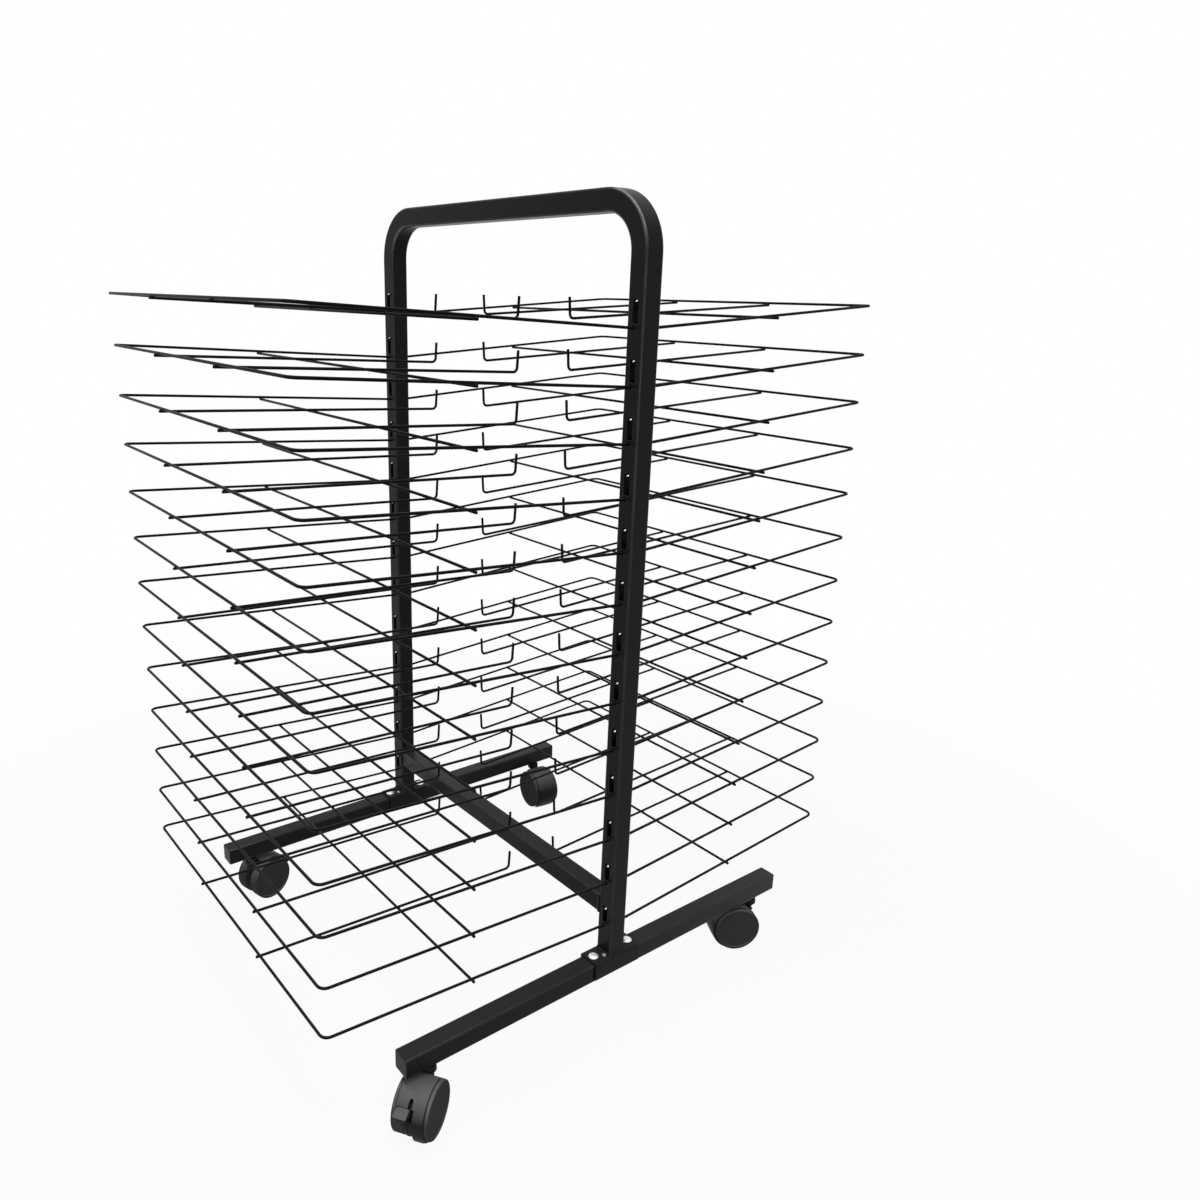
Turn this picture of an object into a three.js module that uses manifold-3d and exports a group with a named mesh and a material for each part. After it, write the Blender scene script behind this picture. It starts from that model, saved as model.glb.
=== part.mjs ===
// Art drying rack: wire shelves on both sides of a bent tube hoop, on four twin-wheel casters.
// Millimetres, +Z up, +X along the feet, front upright at -Y, floor at Z = 0.

import * as THREE from "three";
import { mergeVertices } from "three/addons/utils/BufferGeometryUtils.js";
import Module from "manifold-3d";

const wasm = await Module();
wasm.setup();

// clearance left between pieces that touch
const GAP = 0.3;
// how far a cutter runs past the wall it cuts
const PAST = 5;

// square tube of the frame
const TUBE = 22;
const WALL = 1.5;
const CORNER = 2;
const CORNER_STEPS = 2;

// hoop: two uprights and the top bar in one bent tube
const HALF_SPAN = 230;
const HOOP_RISE = 816.5;
const BEND_R = 48;
const BEND_STEPS = 5;

// feet
const FOOT_LENGTH = 555;
const HOOD_CLEAR = 7.6;
const END_PLATE = 2;

// saddles: folded plates over the feet
const SADDLE_HALF = 33;
const PLATE = 2;
const FOLD_R = 2;
const SADDLE_DROP = 21.4;

// saddle bolts and rivets
const BOLT_X = 25.5;
const BOLT_HEAD_R = 5.8;
const BOLT_HEAD_H = 2.8;
const BOLT_SHANK_R = 3;
const BOLT_SHANK_L = 12;
const RIVET_X = -14.3;
const RIVET_Y = -5.8;
const RIVET_R = 2.7;
const RIVET_H = 2.6;
const RIVET_SHANK_R = 1.6;
const SMALL_STEPS = 12;

// cross rail between the uprights, above the feet
const RAIL_RISE = 60;

// shelves: the lowest level above the feet, the highest below the hoop's top
const LEVELS = 13;
const LOWEST_RISE = 36.5;
const TOP_CLEAR = 126;
const WIRE_R = 1.5;
const WIRE_SIDES = 6;
const WELD = 0.4;
const TILT = THREE.MathUtils.degToRad(3.6);
const SHIFT_Y = 1.95;
const OUTER_X = 357;
const CORNER_BEND_R = 8;
const CROSS_WIRE_X = 190;
const STOP_X = 34;
const STOP_Y = 80;
const STOP_RISE = 25;
const STOP_BEND_R = 5;
const NUB = 3;
const WIRE_BEND_STEPS = 2;

// cranked wire end inside the upright
const CRANK_SET = 2.8;
const CRANK_BEND_R = 2.5;
const ARM_SLOPE = THREE.MathUtils.degToRad(52);
const TIP_OUT = 1.2;

// slot and pivot hole of each level
const SLOT_WIDTH = 7.8;
const SLOT_LOW = 5.5;
const HOLE_HALF_Y = 2.4;
const HOLE_HALF_Z = 2.9;
const HOLE_RISE = 0.35;
const HOLE_SIDES = 8;

// casters
const STEM_INSET = 32.6;
const TRAIL = 20;
const WHEEL_R = 29;
const WHEEL_SIDES = 20;
const WHEEL_IN = 5;
const WHEEL_OUT = 20;
const TREAD_CHAMFER = 1.4;
const INNER_CHAMFER = 2.5;
const RIM_WIDTH = 3.6;
const FACE_RECESS = 0.8;
const AXLE_R = 3;
const AXLE_HALF = 17;
const AXLE_SIDES = 12;
const BORE_PLAY = 0.25;
const WEB_HALF = 4.5;
const HUB_R = 8;
const SHELL_PLAY = 0.9;
const SHELL_WALL = 2;
const SHELL_HALF = 16.4;
const SHELL_LOW = THREE.MathUtils.degToRad(-52);
const SHELL_HIGH = THREE.MathUtils.degToRad(112);
const WEB_LOW = THREE.MathUtils.degToRad(-40);
const WEB_HIGH = THREE.MathUtils.degToRad(142);
const SHELL_STEPS = 12;
const BOSS_R = 8;
const BOSS_TALL = 7;
const NECK_HALF = 6;
const STEM_R = 4;
const COLLAR_R = 5.6;
const COLLAR_TALL = 4.4;
const STEM_IN_FOOT = 12;
const STEM_IN_BOSS = 6;
const ROUND_STEPS = 16;

// brake pedals
const PEDAL_PLAY = 1.8;
const PEDAL_STEP = 0.5;
const PEDAL_LIP = 5.7;
const PEDAL_FAR = -14.8;
const PEDAL_LOW = THREE.MathUtils.degToRad(16.5);
const PEDAL_EDGE = THREE.MathUtils.degToRad(20.5);
const PEDAL_HIGH = THREE.MathUtils.degToRad(35);
const PEDAL_STEPS = 4;
const TONGUE_HALF = 1.4;
const PIVOT_DEEP = 5.5;
const PIVOT_AT = THREE.MathUtils.degToRad(42);
const PIVOT_HUB_R = 3.4;
const TRUNNION_R = 2;
const TRUNNION_HALF = 3.8;
const PEDAL_SLOT_HALF = 2.2;
const PEDAL_SLOT_HIGH = THREE.MathUtils.degToRad(53);
const PEDAL_SLOT_DEEP = 18;
const PEDAL_CUT_NEAR = 3.6;
const PEDAL_CUT_HIGH = THREE.MathUtils.degToRad(36);
const PEDAL_CUT_LOW = THREE.MathUtils.degToRad(-70);

// sizes that follow from the ones above
const UPRIGHT_X = TUBE / 2;
const PIVOT_X = (TUBE - WALL) / 2;
const SHELL_IN = WHEEL_R + SHELL_PLAY;
const SHELL_OUT = SHELL_IN + SHELL_WALL;
const WEB_R = SHELL_IN + SHELL_WALL / 2;
const FOOT_UNDER = WHEEL_R + SHELL_OUT + HOOD_CLEAR;
const FOOT_TOP = FOOT_UNDER + TUBE;
const HOOP_TOP = FOOT_TOP + HOOP_RISE;
const RAIL_Z = FOOT_TOP + RAIL_RISE;
const LEVEL_LOW = FOOT_TOP + LOWEST_RISE;
const PITCH = (HOOP_TOP - TOP_CLEAR - LEVEL_LOW) / (LEVELS - 1);
const SADDLE_TOP = FOOT_TOP + GAP + PLATE;
const HOOP_BASE = SADDLE_TOP + GAP;
const WIRE_CORNER_R = WIRE_R / Math.cos(Math.PI / WIRE_SIDES);
const LAYER = 2 * WIRE_R - WELD;
const SHELF_REACH = (OUTER_X - PIVOT_X) / Math.cos(TILT);
const ARM_TURN = ARM_SLOPE + TILT;
const CRANK_X = PIVOT_X - CRANK_SET * Math.cos(TILT) - WIRE_R * Math.sin(TILT);
const CRANK_Z = WIRE_R * Math.cos(TILT) - CRANK_SET * Math.sin(TILT);
const ARM_LENGTH = (CRANK_X + UPRIGHT_X + TIP_OUT) / Math.cos(ARM_SLOPE);
const ARM_AT_FACE = CRANK_Z + (CRANK_X + UPRIGHT_X) * Math.tan(ARM_SLOPE);
const SLOT_TOP = ARM_AT_FACE + WIRE_CORNER_R / Math.cos(ARM_SLOPE);
const STEM_X = FOOT_LENGTH / 2 - STEM_INSET;
const COLLAR_TOP = FOOT_UNDER - GAP;
const COLLAR_LOW = COLLAR_TOP - COLLAR_TALL;
const BOSS_TOP = COLLAR_LOW - GAP;
const BOSS_LOW = BOSS_TOP - BOSS_TALL;
const PEDAL_IN = WHEEL_R + PEDAL_PLAY;
const PEDAL_ROOT = SHELL_OUT + PEDAL_STEP;
const PEDAL_OUT = SHELL_OUT + PEDAL_LIP;
const PIVOT_R = WHEEL_R - PIVOT_DEEP;

// finishes
const black = new THREE.MeshStandardMaterial({ color: 0x26272a, roughness: 0.45, metalness: 0.2 });
const wireBlack = new THREE.MeshStandardMaterial({ color: 0x1c1d1f, roughness: 0.4, metalness: 0.2 });
const plastic = new THREE.MeshStandardMaterial({ color: 0x3a3b3d, roughness: 0.6, metalness: 0 });
const tread = new THREE.MeshStandardMaterial({ color: 0x343537, roughness: 0.65, metalness: 0 });
const zinc = new THREE.MeshStandardMaterial({ color: 0xd9dbde, roughness: 0.25, metalness: 1 });
const steel = new THREE.MeshStandardMaterial({ color: 0x8a8c90, roughness: 0.35, metalness: 1 });

// A closed body from a geometry, ready to join or cut.
function solid(geometry) {
  const bare = new THREE.BufferGeometry();
  bare.setAttribute("position", geometry.getAttribute("position").clone());
  if (geometry.index) {
    bare.setIndex(geometry.index.clone());
  }
  const joined = mergeVertices(bare, 1e-4);
  const vertProperties = new Float32Array(joined.getAttribute("position").array);
  const triVerts = new Uint32Array(joined.index.array);
  return new wasm.Manifold(new wasm.Mesh({ numProp: 3, vertProperties, triVerts }));
}

// The geometry of a joined or cut body.
function skin(body) {
  const mesh = body.getMesh();
  const geometry = new THREE.BufferGeometry();
  geometry.setAttribute("position", new THREE.BufferAttribute(new Float32Array(mesh.vertProperties), 3));
  geometry.setIndex(new THREE.BufferAttribute(new Uint32Array(mesh.triVerts), 1));
  geometry.computeVertexNormals();
  return geometry;
}

// A named piece with its own material.
function piece(name, geometry, material) {
  const mesh = new THREE.Mesh(geometry, material.clone());
  mesh.name = name;
  return mesh;
}

// A path whose rings lie on listed points, each square to its listed direction.
class Route extends THREE.Curve {
  constructor(points, tangents) {
    super();
    this.points = points;
    this.tangents = tangents;
  }
  pick(list, t, target) {
    return target.copy(list[Math.round(t * (list.length - 1))]);
  }
  getPoint(t, target = new THREE.Vector3()) {
    return this.pick(this.points, t, target);
  }
  getPointAt(t, target = new THREE.Vector3()) {
    return this.pick(this.points, t, target);
  }
  getTangent(t, target = new THREE.Vector3()) {
    return this.pick(this.tangents, t, target);
  }
  getTangentAt(t, target = new THREE.Vector3()) {
    return this.pick(this.tangents, t, target);
  }
}

// A route through corner points, each inner corner rounded by its radius.
function bentRoute(corners, steps) {
  const points = [];
  const tangents = [];
  const add = (point, tangent) => {
    points.push(point);
    tangents.push(tangent);
  };
  corners.forEach((corner, i) => {
    const before = corners[i - 1];
    const after = corners[i + 1];
    if (!before) {
      add(corner.at.clone(), after.at.clone().sub(corner.at).normalize());
      return;
    }
    const inward = corner.at.clone().sub(before.at).normalize();
    if (!after) {
      add(corner.at.clone(), inward);
      return;
    }
    const onward = after.at.clone().sub(corner.at).normalize();
    const turn = inward.angleTo(onward);
    const side = onward.clone().addScaledVector(inward, -onward.dot(inward)).normalize();
    const set = corner.radius * Math.tan(turn / 2);
    const start = corner.at.clone().addScaledVector(inward, -set);
    const centre = start.clone().addScaledVector(side, corner.radius);
    for (let k = 0; k <= steps; k += 1) {
      const angle = (turn * k) / steps;
      const out = centre.clone().addScaledVector(side, -corner.radius * Math.cos(angle));
      out.addScaledVector(inward, corner.radius * Math.sin(angle));
      const along = inward.clone().multiplyScalar(Math.cos(angle)).addScaledVector(side, Math.sin(angle));
      add(out, along);
    }
  });
  return new Route(points, tangents);
}

// A section carried along a route.
function along(shape, route) {
  const options = { steps: route.points.length - 1, extrudePath: route, curveSegments: CORNER_STEPS };
  return new THREE.ExtrudeGeometry(shape, options);
}

// A square with rounded corners, drawn on a shape or a hole.
function roundedSquare(path, side, radius) {
  const half = side / 2;
  const flat = half - radius;
  path.moveTo(-flat, -half);
  path.lineTo(flat, -half);
  path.absarc(flat, -flat, radius, -Math.PI / 2, 0, false);
  path.absarc(flat, flat, radius, 0, Math.PI / 2, false);
  path.absarc(-flat, flat, radius, Math.PI / 2, Math.PI, false);
  path.absarc(-flat, -flat, radius, Math.PI, 1.5 * Math.PI, false);
  return path;
}

// The hollow section of the square tube.
function tubeSection() {
  const shape = roundedSquare(new THREE.Shape(), TUBE, CORNER);
  shape.holes.push(roundedSquare(new THREE.Path(), TUBE - 2 * WALL, CORNER - WALL));
  return shape;
}

// A regular polygon around the wire.
function wireSection() {
  const points = [];
  for (let k = 0; k < WIRE_SIDES; k += 1) {
    const angle = (2 * Math.PI * (k + 0.5)) / WIRE_SIDES;
    points.push(new THREE.Vector2(WIRE_CORNER_R * Math.cos(angle), WIRE_CORNER_R * Math.sin(angle)));
  }
  return new THREE.Shape(points);
}

// A wire through corner points.
function wire(corners) {
  return solid(along(wireSection(), bentRoute(corners, WIRE_BEND_STEPS)));
}

// A straight prism of a shape, its length centred on X.
function prismX(shape, length) {
  const options = { depth: length, bevelEnabled: false, curveSegments: CORNER_STEPS };
  const geometry = new THREE.ExtrudeGeometry(shape, options);
  geometry.translate(0, 0, -length / 2);
  geometry.rotateZ(Math.PI / 2);
  geometry.rotateY(Math.PI / 2);
  return geometry;
}

// A cylinder along Z between two heights.
function postZ(radius, low, high, x, y, sides) {
  const geometry = new THREE.CylinderGeometry(radius, radius, high - low, sides);
  geometry.rotateX(Math.PI / 2);
  geometry.translate(x, y, (low + high) / 2);
  return solid(geometry);
}

// A turned body about Z from radius and height pairs that start and end on the axis.
function turned(profile, sides) {
  const points = profile.map(([r, z]) => new THREE.Vector2(r, z));
  const geometry = new THREE.LatheGeometry(points, sides);
  geometry.rotateX(Math.PI / 2);
  return geometry;
}

const rack = new THREE.Group();
rack.name = "art_drying_rack";

// height of a level's pivot line, counted from the top
function pivotZ(level) {
  return LEVEL_LOW + (LEVELS - level) * PITCH - WIRE_R;
}

// hoop, cut by a slot through both walls and one pivot hole in each wall at every level
function hoopGeometry() {
  const top = HOOP_TOP - TUBE / 2;
  const corners = [
    { at: new THREE.Vector3(0, -HALF_SPAN, HOOP_BASE) },
    { at: new THREE.Vector3(0, -HALF_SPAN, top), radius: BEND_R },
    { at: new THREE.Vector3(0, HALF_SPAN, top), radius: BEND_R },
    { at: new THREE.Vector3(0, HALF_SPAN, HOOP_BASE) },
  ];
  let body = solid(along(tubeSection(), bentRoute(corners, BEND_STEPS)));
  for (let level = 1; level <= LEVELS; level += 1) {
    for (const y of [-HALF_SPAN, HALF_SPAN]) {
      const slot = new THREE.BoxGeometry(TUBE + 2 * PAST, SLOT_WIDTH, SLOT_TOP - SLOT_LOW);
      slot.translate(0, y, pivotZ(level) + (SLOT_TOP + SLOT_LOW) / 2);
      body = body.subtract(solid(slot));
      for (const side of [-1, 1]) {
        const hole = new THREE.CylinderGeometry(1, 1, TUBE, HOLE_SIDES, 1, false, Math.PI / HOLE_SIDES);
        hole.rotateZ(Math.PI / 2);
        hole.scale(1, HOLE_HALF_Y, HOLE_HALF_Z);
        hole.translate(side * UPRIGHT_X, y - side * SHIFT_Y, pivotZ(level) + WIRE_R + HOLE_RISE);
        body = body.subtract(solid(hole));
      }
    }
  }
  return skin(body);
}
rack.add(piece("frame_hoop", hoopGeometry(), black));

// cross rail between the uprights
const railCorners = [
  { at: new THREE.Vector3(0, -HALF_SPAN + TUBE / 2 + GAP, RAIL_Z) },
  { at: new THREE.Vector3(0, HALF_SPAN - TUBE / 2 - GAP, RAIL_Z) },
];
rack.add(piece("cross_rail", along(tubeSection(), bentRoute(railCorners, 1)), black));

// foot: a tube closed by end plates, with holes for the bolts above and the stems below
function footGeometry() {
  const outside = roundedSquare(new THREE.Shape(), TUBE, CORNER);
  const inside = roundedSquare(new THREE.Shape(), TUBE - 2 * WALL, CORNER - WALL);
  const hollow = solid(prismX(inside, FOOT_LENGTH - 2 * END_PLATE));
  let body = solid(prismX(outside, FOOT_LENGTH)).subtract(hollow);
  for (const side of [-1, 1]) {
    const boltHole = BOLT_SHANK_R + GAP;
    body = body.subtract(postZ(boltHole, 0, TUBE / 2 + PAST, side * BOLT_X, 0, SMALL_STEPS));
    const stemHole = STEM_R + GAP;
    body = body.subtract(postZ(stemHole, -TUBE / 2 - PAST, 0, side * STEM_X, 0, ROUND_STEPS));
  }
  return skin(body).translate(0, 0, FOOT_UNDER + TUBE / 2);
}

// saddle: a plate folded down over both sides of the foot
function saddleGeometry() {
  const half = TUBE / 2 + GAP;
  const out = half + PLATE;
  const shape = new THREE.Shape();
  const low = SADDLE_TOP - SADDLE_DROP;
  shape.moveTo(-out, low);
  shape.lineTo(-half, low);
  shape.lineTo(-half, FOOT_TOP + GAP);
  shape.lineTo(half, FOOT_TOP + GAP);
  shape.lineTo(half, low);
  shape.lineTo(out, low);
  shape.lineTo(out, SADDLE_TOP - FOLD_R);
  shape.absarc(out - FOLD_R, SADDLE_TOP - FOLD_R, FOLD_R, 0, Math.PI / 2, false);
  shape.absarc(-out + FOLD_R, SADDLE_TOP - FOLD_R, FOLD_R, Math.PI / 2, Math.PI, false);
  shape.closePath();
  const options = { depth: 2 * SADDLE_HALF, bevelEnabled: false, curveSegments: CORNER_STEPS };
  const plate = new THREE.ExtrudeGeometry(shape, options);
  plate.translate(0, 0, -SADDLE_HALF);
  plate.rotateX(Math.PI / 2);
  plate.rotateZ(Math.PI / 2);
  let body = solid(plate);
  for (const side of [-1, 1]) {
    body = body.subtract(postZ(BOLT_SHANK_R + GAP, FOOT_TOP, SADDLE_TOP + PAST, side * BOLT_X, 0, SMALL_STEPS));
  }
  const hole = postZ(RIVET_SHANK_R + GAP, FOOT_TOP, SADDLE_TOP + PAST, RIVET_X, RIVET_Y, SMALL_STEPS);
  return skin(body.subtract(hole));
}

// saddle bolt: a low domed head on a shank
function boltGeometry() {
  const head = SADDLE_TOP + GAP;
  return turned(
    [
      [0, head - BOLT_SHANK_L],
      [BOLT_SHANK_R, head - BOLT_SHANK_L],
      [BOLT_SHANK_R, head],
      [BOLT_HEAD_R, head],
      [BOLT_HEAD_R, head + BOLT_HEAD_H * 0.35],
      [BOLT_HEAD_R * 0.72, head + BOLT_HEAD_H * 0.85],
      [0, head + BOLT_HEAD_H],
    ],
    SMALL_STEPS,
  );
}

// rivet: a small dome with a short shank in the plate
function rivetGeometry() {
  const head = SADDLE_TOP + GAP;
  return turned(
    [
      [0, head - PLATE],
      [RIVET_SHANK_R, head - PLATE],
      [RIVET_SHANK_R, head],
      [RIVET_R, head],
      [RIVET_R * 0.85, head + RIVET_H * 0.6],
      [0, head + RIVET_H],
    ],
    SMALL_STEPS,
  );
}

const foot = footGeometry();
const saddle = saddleGeometry();
const bolt = boltGeometry();
const rivet = rivetGeometry();
for (const [place, y] of [
  ["front", -HALF_SPAN],
  ["back", HALF_SPAN],
]) {
  rack.add(piece(`${place}_foot`, foot.clone().translate(0, y, 0), black));
  rack.add(piece(`${place}_saddle`, saddle.clone().translate(0, y, 0), black));
  rack.add(piece(`${place}_saddle_bolt_left`, bolt.clone().translate(-BOLT_X, y, 0), zinc));
  rack.add(piece(`${place}_saddle_bolt_right`, bolt.clone().translate(BOLT_X, y, 0), zinc));
  rack.add(piece(`${place}_saddle_rivet`, rivet.clone().translate(RIVET_X, y + RIVET_Y, 0), steel));
}

// shelf: a U wire with cranked ends, one cross wire under it and two stop wires, welded together
function shelfGeometry() {
  const legs = (y) => [
    new THREE.Vector3(
      -CRANK_SET - ARM_LENGTH * Math.cos(ARM_TURN),
      y,
      WIRE_R + ARM_LENGTH * Math.sin(ARM_TURN),
    ),
    new THREE.Vector3(-CRANK_SET, y, WIRE_R),
    new THREE.Vector3(SHELF_REACH, y, WIRE_R),
  ];
  const [frontTip, frontCrank, frontCorner] = legs(-HALF_SPAN);
  const [backTip, backCrank, backCorner] = legs(HALF_SPAN);
  let body = wire([
    { at: frontTip },
    { at: frontCrank, radius: CRANK_BEND_R },
    { at: frontCorner, radius: CORNER_BEND_R },
    { at: backCorner, radius: CORNER_BEND_R },
    { at: backCrank, radius: CRANK_BEND_R },
    { at: backTip },
  ]);
  const crossX = (CROSS_WIRE_X - PIVOT_X) / Math.cos(TILT);
  const crossEnd = HALF_SPAN + NUB;
  body = body.add(
    wire([
      { at: new THREE.Vector3(crossX, -crossEnd, WIRE_R - LAYER) },
      { at: new THREE.Vector3(crossX, crossEnd, WIRE_R - LAYER) },
    ]),
  );
  const stopX = (STOP_X - PIVOT_X) / Math.cos(TILT);
  const endX = SHELF_REACH + NUB;
  const fall = LAYER / (SHELF_REACH - crossX);
  const heightAt = (x) => WIRE_R - fall * (x - crossX);
  for (const y of [-STOP_Y, STOP_Y]) {
    body = body.add(
      wire([
        { at: new THREE.Vector3(stopX, y, WIRE_R + STOP_RISE) },
        { at: new THREE.Vector3(stopX, y, heightAt(stopX)), radius: STOP_BEND_R },
        { at: new THREE.Vector3(endX, y, heightAt(endX)) },
      ]),
    );
  }
  return skin(body).rotateY(-TILT);
}

const shelf = shelfGeometry();
const turnedShelf = shelf.clone().rotateZ(Math.PI);
for (let level = 1; level <= LEVELS; level += 1) {
  const number = String(level).padStart(2, "0");
  const left = turnedShelf.clone().translate(-PIVOT_X, SHIFT_Y, pivotZ(level));
  const right = shelf.clone().translate(PIVOT_X, -SHIFT_Y, pivotZ(level));
  rack.add(piece(`left_shelf_${number}`, left, wireBlack));
  rack.add(piece(`right_shelf_${number}`, right, wireBlack));
}

// A point at a radius and angle around the axle, in the plane across it.
function polar(radius, angle) {
  return new THREE.Vector2(radius * Math.cos(angle), radius * Math.sin(angle));
}

// Points along an arc around the axle.
function arc(radius, from, to, steps) {
  const points = [];
  for (let k = 0; k <= steps; k += 1) {
    points.push(polar(radius, from + ((to - from) * k) / steps));
  }
  return points;
}

// A slab of a shape drawn across the axle, between two places along it.
function slab(points, near, far) {
  const options = { depth: far - near, bevelEnabled: false };
  const geometry = new THREE.ExtrudeGeometry(new THREE.Shape(points), options);
  geometry.rotateX(Math.PI / 2);
  geometry.translate(0, far, 0);
  return solid(geometry);
}

// A round bar along the axle's direction.
function barY(radius, from, to, at, sides) {
  const geometry = new THREE.CylinderGeometry(radius, radius, to - from, sides);
  geometry.translate(at.x, (from + to) / 2, at.y);
  return solid(geometry);
}

// hood: a shell over the wheels, a web between them and a boss around the stem, axle at the origin
function hoodGeometry(braked) {
  const origin = new THREE.Vector2(0, 0);
  const shell = arc(SHELL_OUT, SHELL_LOW, SHELL_HIGH, SHELL_STEPS).concat(
    arc(SHELL_IN, SHELL_HIGH, SHELL_LOW, SHELL_STEPS),
  );
  let body = slab(shell, -SHELL_HALF, SHELL_HALF);
  const web = arc(WEB_R, WEB_LOW, WEB_HIGH, SHELL_STEPS).concat([
    polar(HUB_R, WEB_HIGH),
    polar(HUB_R, Math.PI),
    polar(HUB_R, WEB_LOW - Math.PI / 2),
    polar(HUB_R, WEB_LOW),
  ]);
  body = body.add(slab(web, -WEB_HALF, WEB_HALF));
  const low = BOSS_LOW - WHEEL_R;
  const top = BOSS_TOP - WHEEL_R;
  const neck = [
    polar(HUB_R, Math.PI / 2),
    new THREE.Vector2(-TRAIL + NECK_HALF, low + GAP),
    new THREE.Vector2(-TRAIL - NECK_HALF, low + GAP),
    polar(HUB_R, WEB_HIGH),
  ];
  body = body.add(slab(neck, -WEB_HALF, WEB_HALF));
  body = body.add(postZ(BOSS_R, low, top, -TRAIL, 0, ROUND_STEPS));
  const stemEnd = COLLAR_LOW - WHEEL_R - STEM_IN_BOSS - GAP;
  body = body.subtract(postZ(STEM_R + GAP, stemEnd, top + PAST, -TRAIL, 0, ROUND_STEPS));
  body = body.subtract(barY(AXLE_R + BORE_PLAY, -PAST - WEB_HALF, PAST + WEB_HALF, origin, AXLE_SIDES));
  if (braked) {
    const far = PEDAL_OUT + PAST;
    const cut = arc(far, PEDAL_CUT_LOW, PEDAL_CUT_HIGH, PEDAL_STEPS).concat(
      arc(SHELL_IN - GAP, PEDAL_CUT_HIGH, PEDAL_CUT_LOW, PEDAL_STEPS),
    );
    body = body.subtract(slab(cut, -SHELL_HALF - PAST, PEDAL_CUT_NEAR));
    const slot = arc(far, PEDAL_CUT_LOW, PEDAL_SLOT_HIGH, SHELL_STEPS).concat([
      polar(PEDAL_SLOT_DEEP, PEDAL_SLOT_HIGH),
      polar(PEDAL_SLOT_DEEP, PEDAL_CUT_LOW),
    ]);
    body = body.subtract(slab(slot, -PEDAL_SLOT_HALF, PEDAL_SLOT_HALF));
    const pivot = polar(PIVOT_R, PIVOT_AT);
    const reach = WEB_HALF + PAST;
    body = body.subtract(barY(TRUNNION_R + BORE_PLAY, -reach, reach, pivot, AXLE_SIDES));
  }
  return skin(body);
}

// wheel: one of a pair, closed outside by a recessed disc with a raised rim
function wheelGeometry() {
  const facet = WHEEL_R / Math.cos(Math.PI / WHEEL_SIDES);
  const bore = AXLE_R + BORE_PLAY;
  const profile = [
    [0, AXLE_HALF + GAP],
    [bore, AXLE_HALF + GAP],
    [bore, WHEEL_IN],
    [facet - INNER_CHAMFER, WHEEL_IN],
    [facet, WHEEL_IN + INNER_CHAMFER],
    [facet, WHEEL_OUT - TREAD_CHAMFER],
    [facet - TREAD_CHAMFER, WHEEL_OUT],
    [facet - RIM_WIDTH, WHEEL_OUT],
    [facet - RIM_WIDTH - FACE_RECESS, WHEEL_OUT - FACE_RECESS],
    [0, WHEEL_OUT - FACE_RECESS],
  ];
  const points = profile.map(([r, y]) => new THREE.Vector2(r, y));
  const geometry = new THREE.LatheGeometry(points, WHEEL_SIDES);
  return geometry.rotateY(Math.PI / WHEEL_SIDES);
}

// brake pedal: a sloping shoe outside the hood on a tongue that turns on two trunnions
function pedalGeometry() {
  const shoe = [
    polar(PEDAL_OUT, PEDAL_LOW),
    polar(PEDAL_OUT, PEDAL_EDGE),
    polar(PEDAL_ROOT, PEDAL_HIGH),
    ...arc(PEDAL_IN, PEDAL_HIGH, PEDAL_LOW, PEDAL_STEPS),
  ];
  let body = slab(shoe, PEDAL_FAR, TONGUE_HALF);
  const pivot = polar(PIVOT_R, PIVOT_AT);
  const tongue = [
    polar(PEDAL_ROOT, PEDAL_EDGE),
    polar(PEDAL_ROOT, PEDAL_HIGH),
    polar(PIVOT_R + PIVOT_HUB_R, PIVOT_AT),
    polar(PIVOT_R - PIVOT_HUB_R, PIVOT_AT),
  ];
  body = body.add(slab(tongue, -TONGUE_HALF, TONGUE_HALF));
  body = body.add(barY(PIVOT_HUB_R, -TONGUE_HALF, TONGUE_HALF, pivot, AXLE_SIDES));
  body = body.add(barY(TRUNNION_R, -TRUNNION_HALF, TRUNNION_HALF, pivot, AXLE_SIDES));
  return skin(body);
}

// stem: a pin with a collar, up into the foot and down into the hood's boss
function stemGeometry() {
  return turned(
    [
      [0, COLLAR_LOW - STEM_IN_BOSS],
      [STEM_R, COLLAR_LOW - STEM_IN_BOSS],
      [STEM_R, COLLAR_LOW],
      [COLLAR_R, COLLAR_LOW],
      [COLLAR_R, COLLAR_TOP],
      [STEM_R, COLLAR_TOP],
      [STEM_R, COLLAR_TOP + STEM_IN_FOOT],
      [0, COLLAR_TOP + STEM_IN_FOOT],
    ],
    ROUND_STEPS,
  );
}

const stem = stemGeometry();
const axle = new THREE.CylinderGeometry(AXLE_R, AXLE_R, 2 * AXLE_HALF, AXLE_SIDES);
const wheel = wheelGeometry();
const pedal = pedalGeometry();
const plainHood = hoodGeometry(false);
const brakedHood = hoodGeometry(true);

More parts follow.
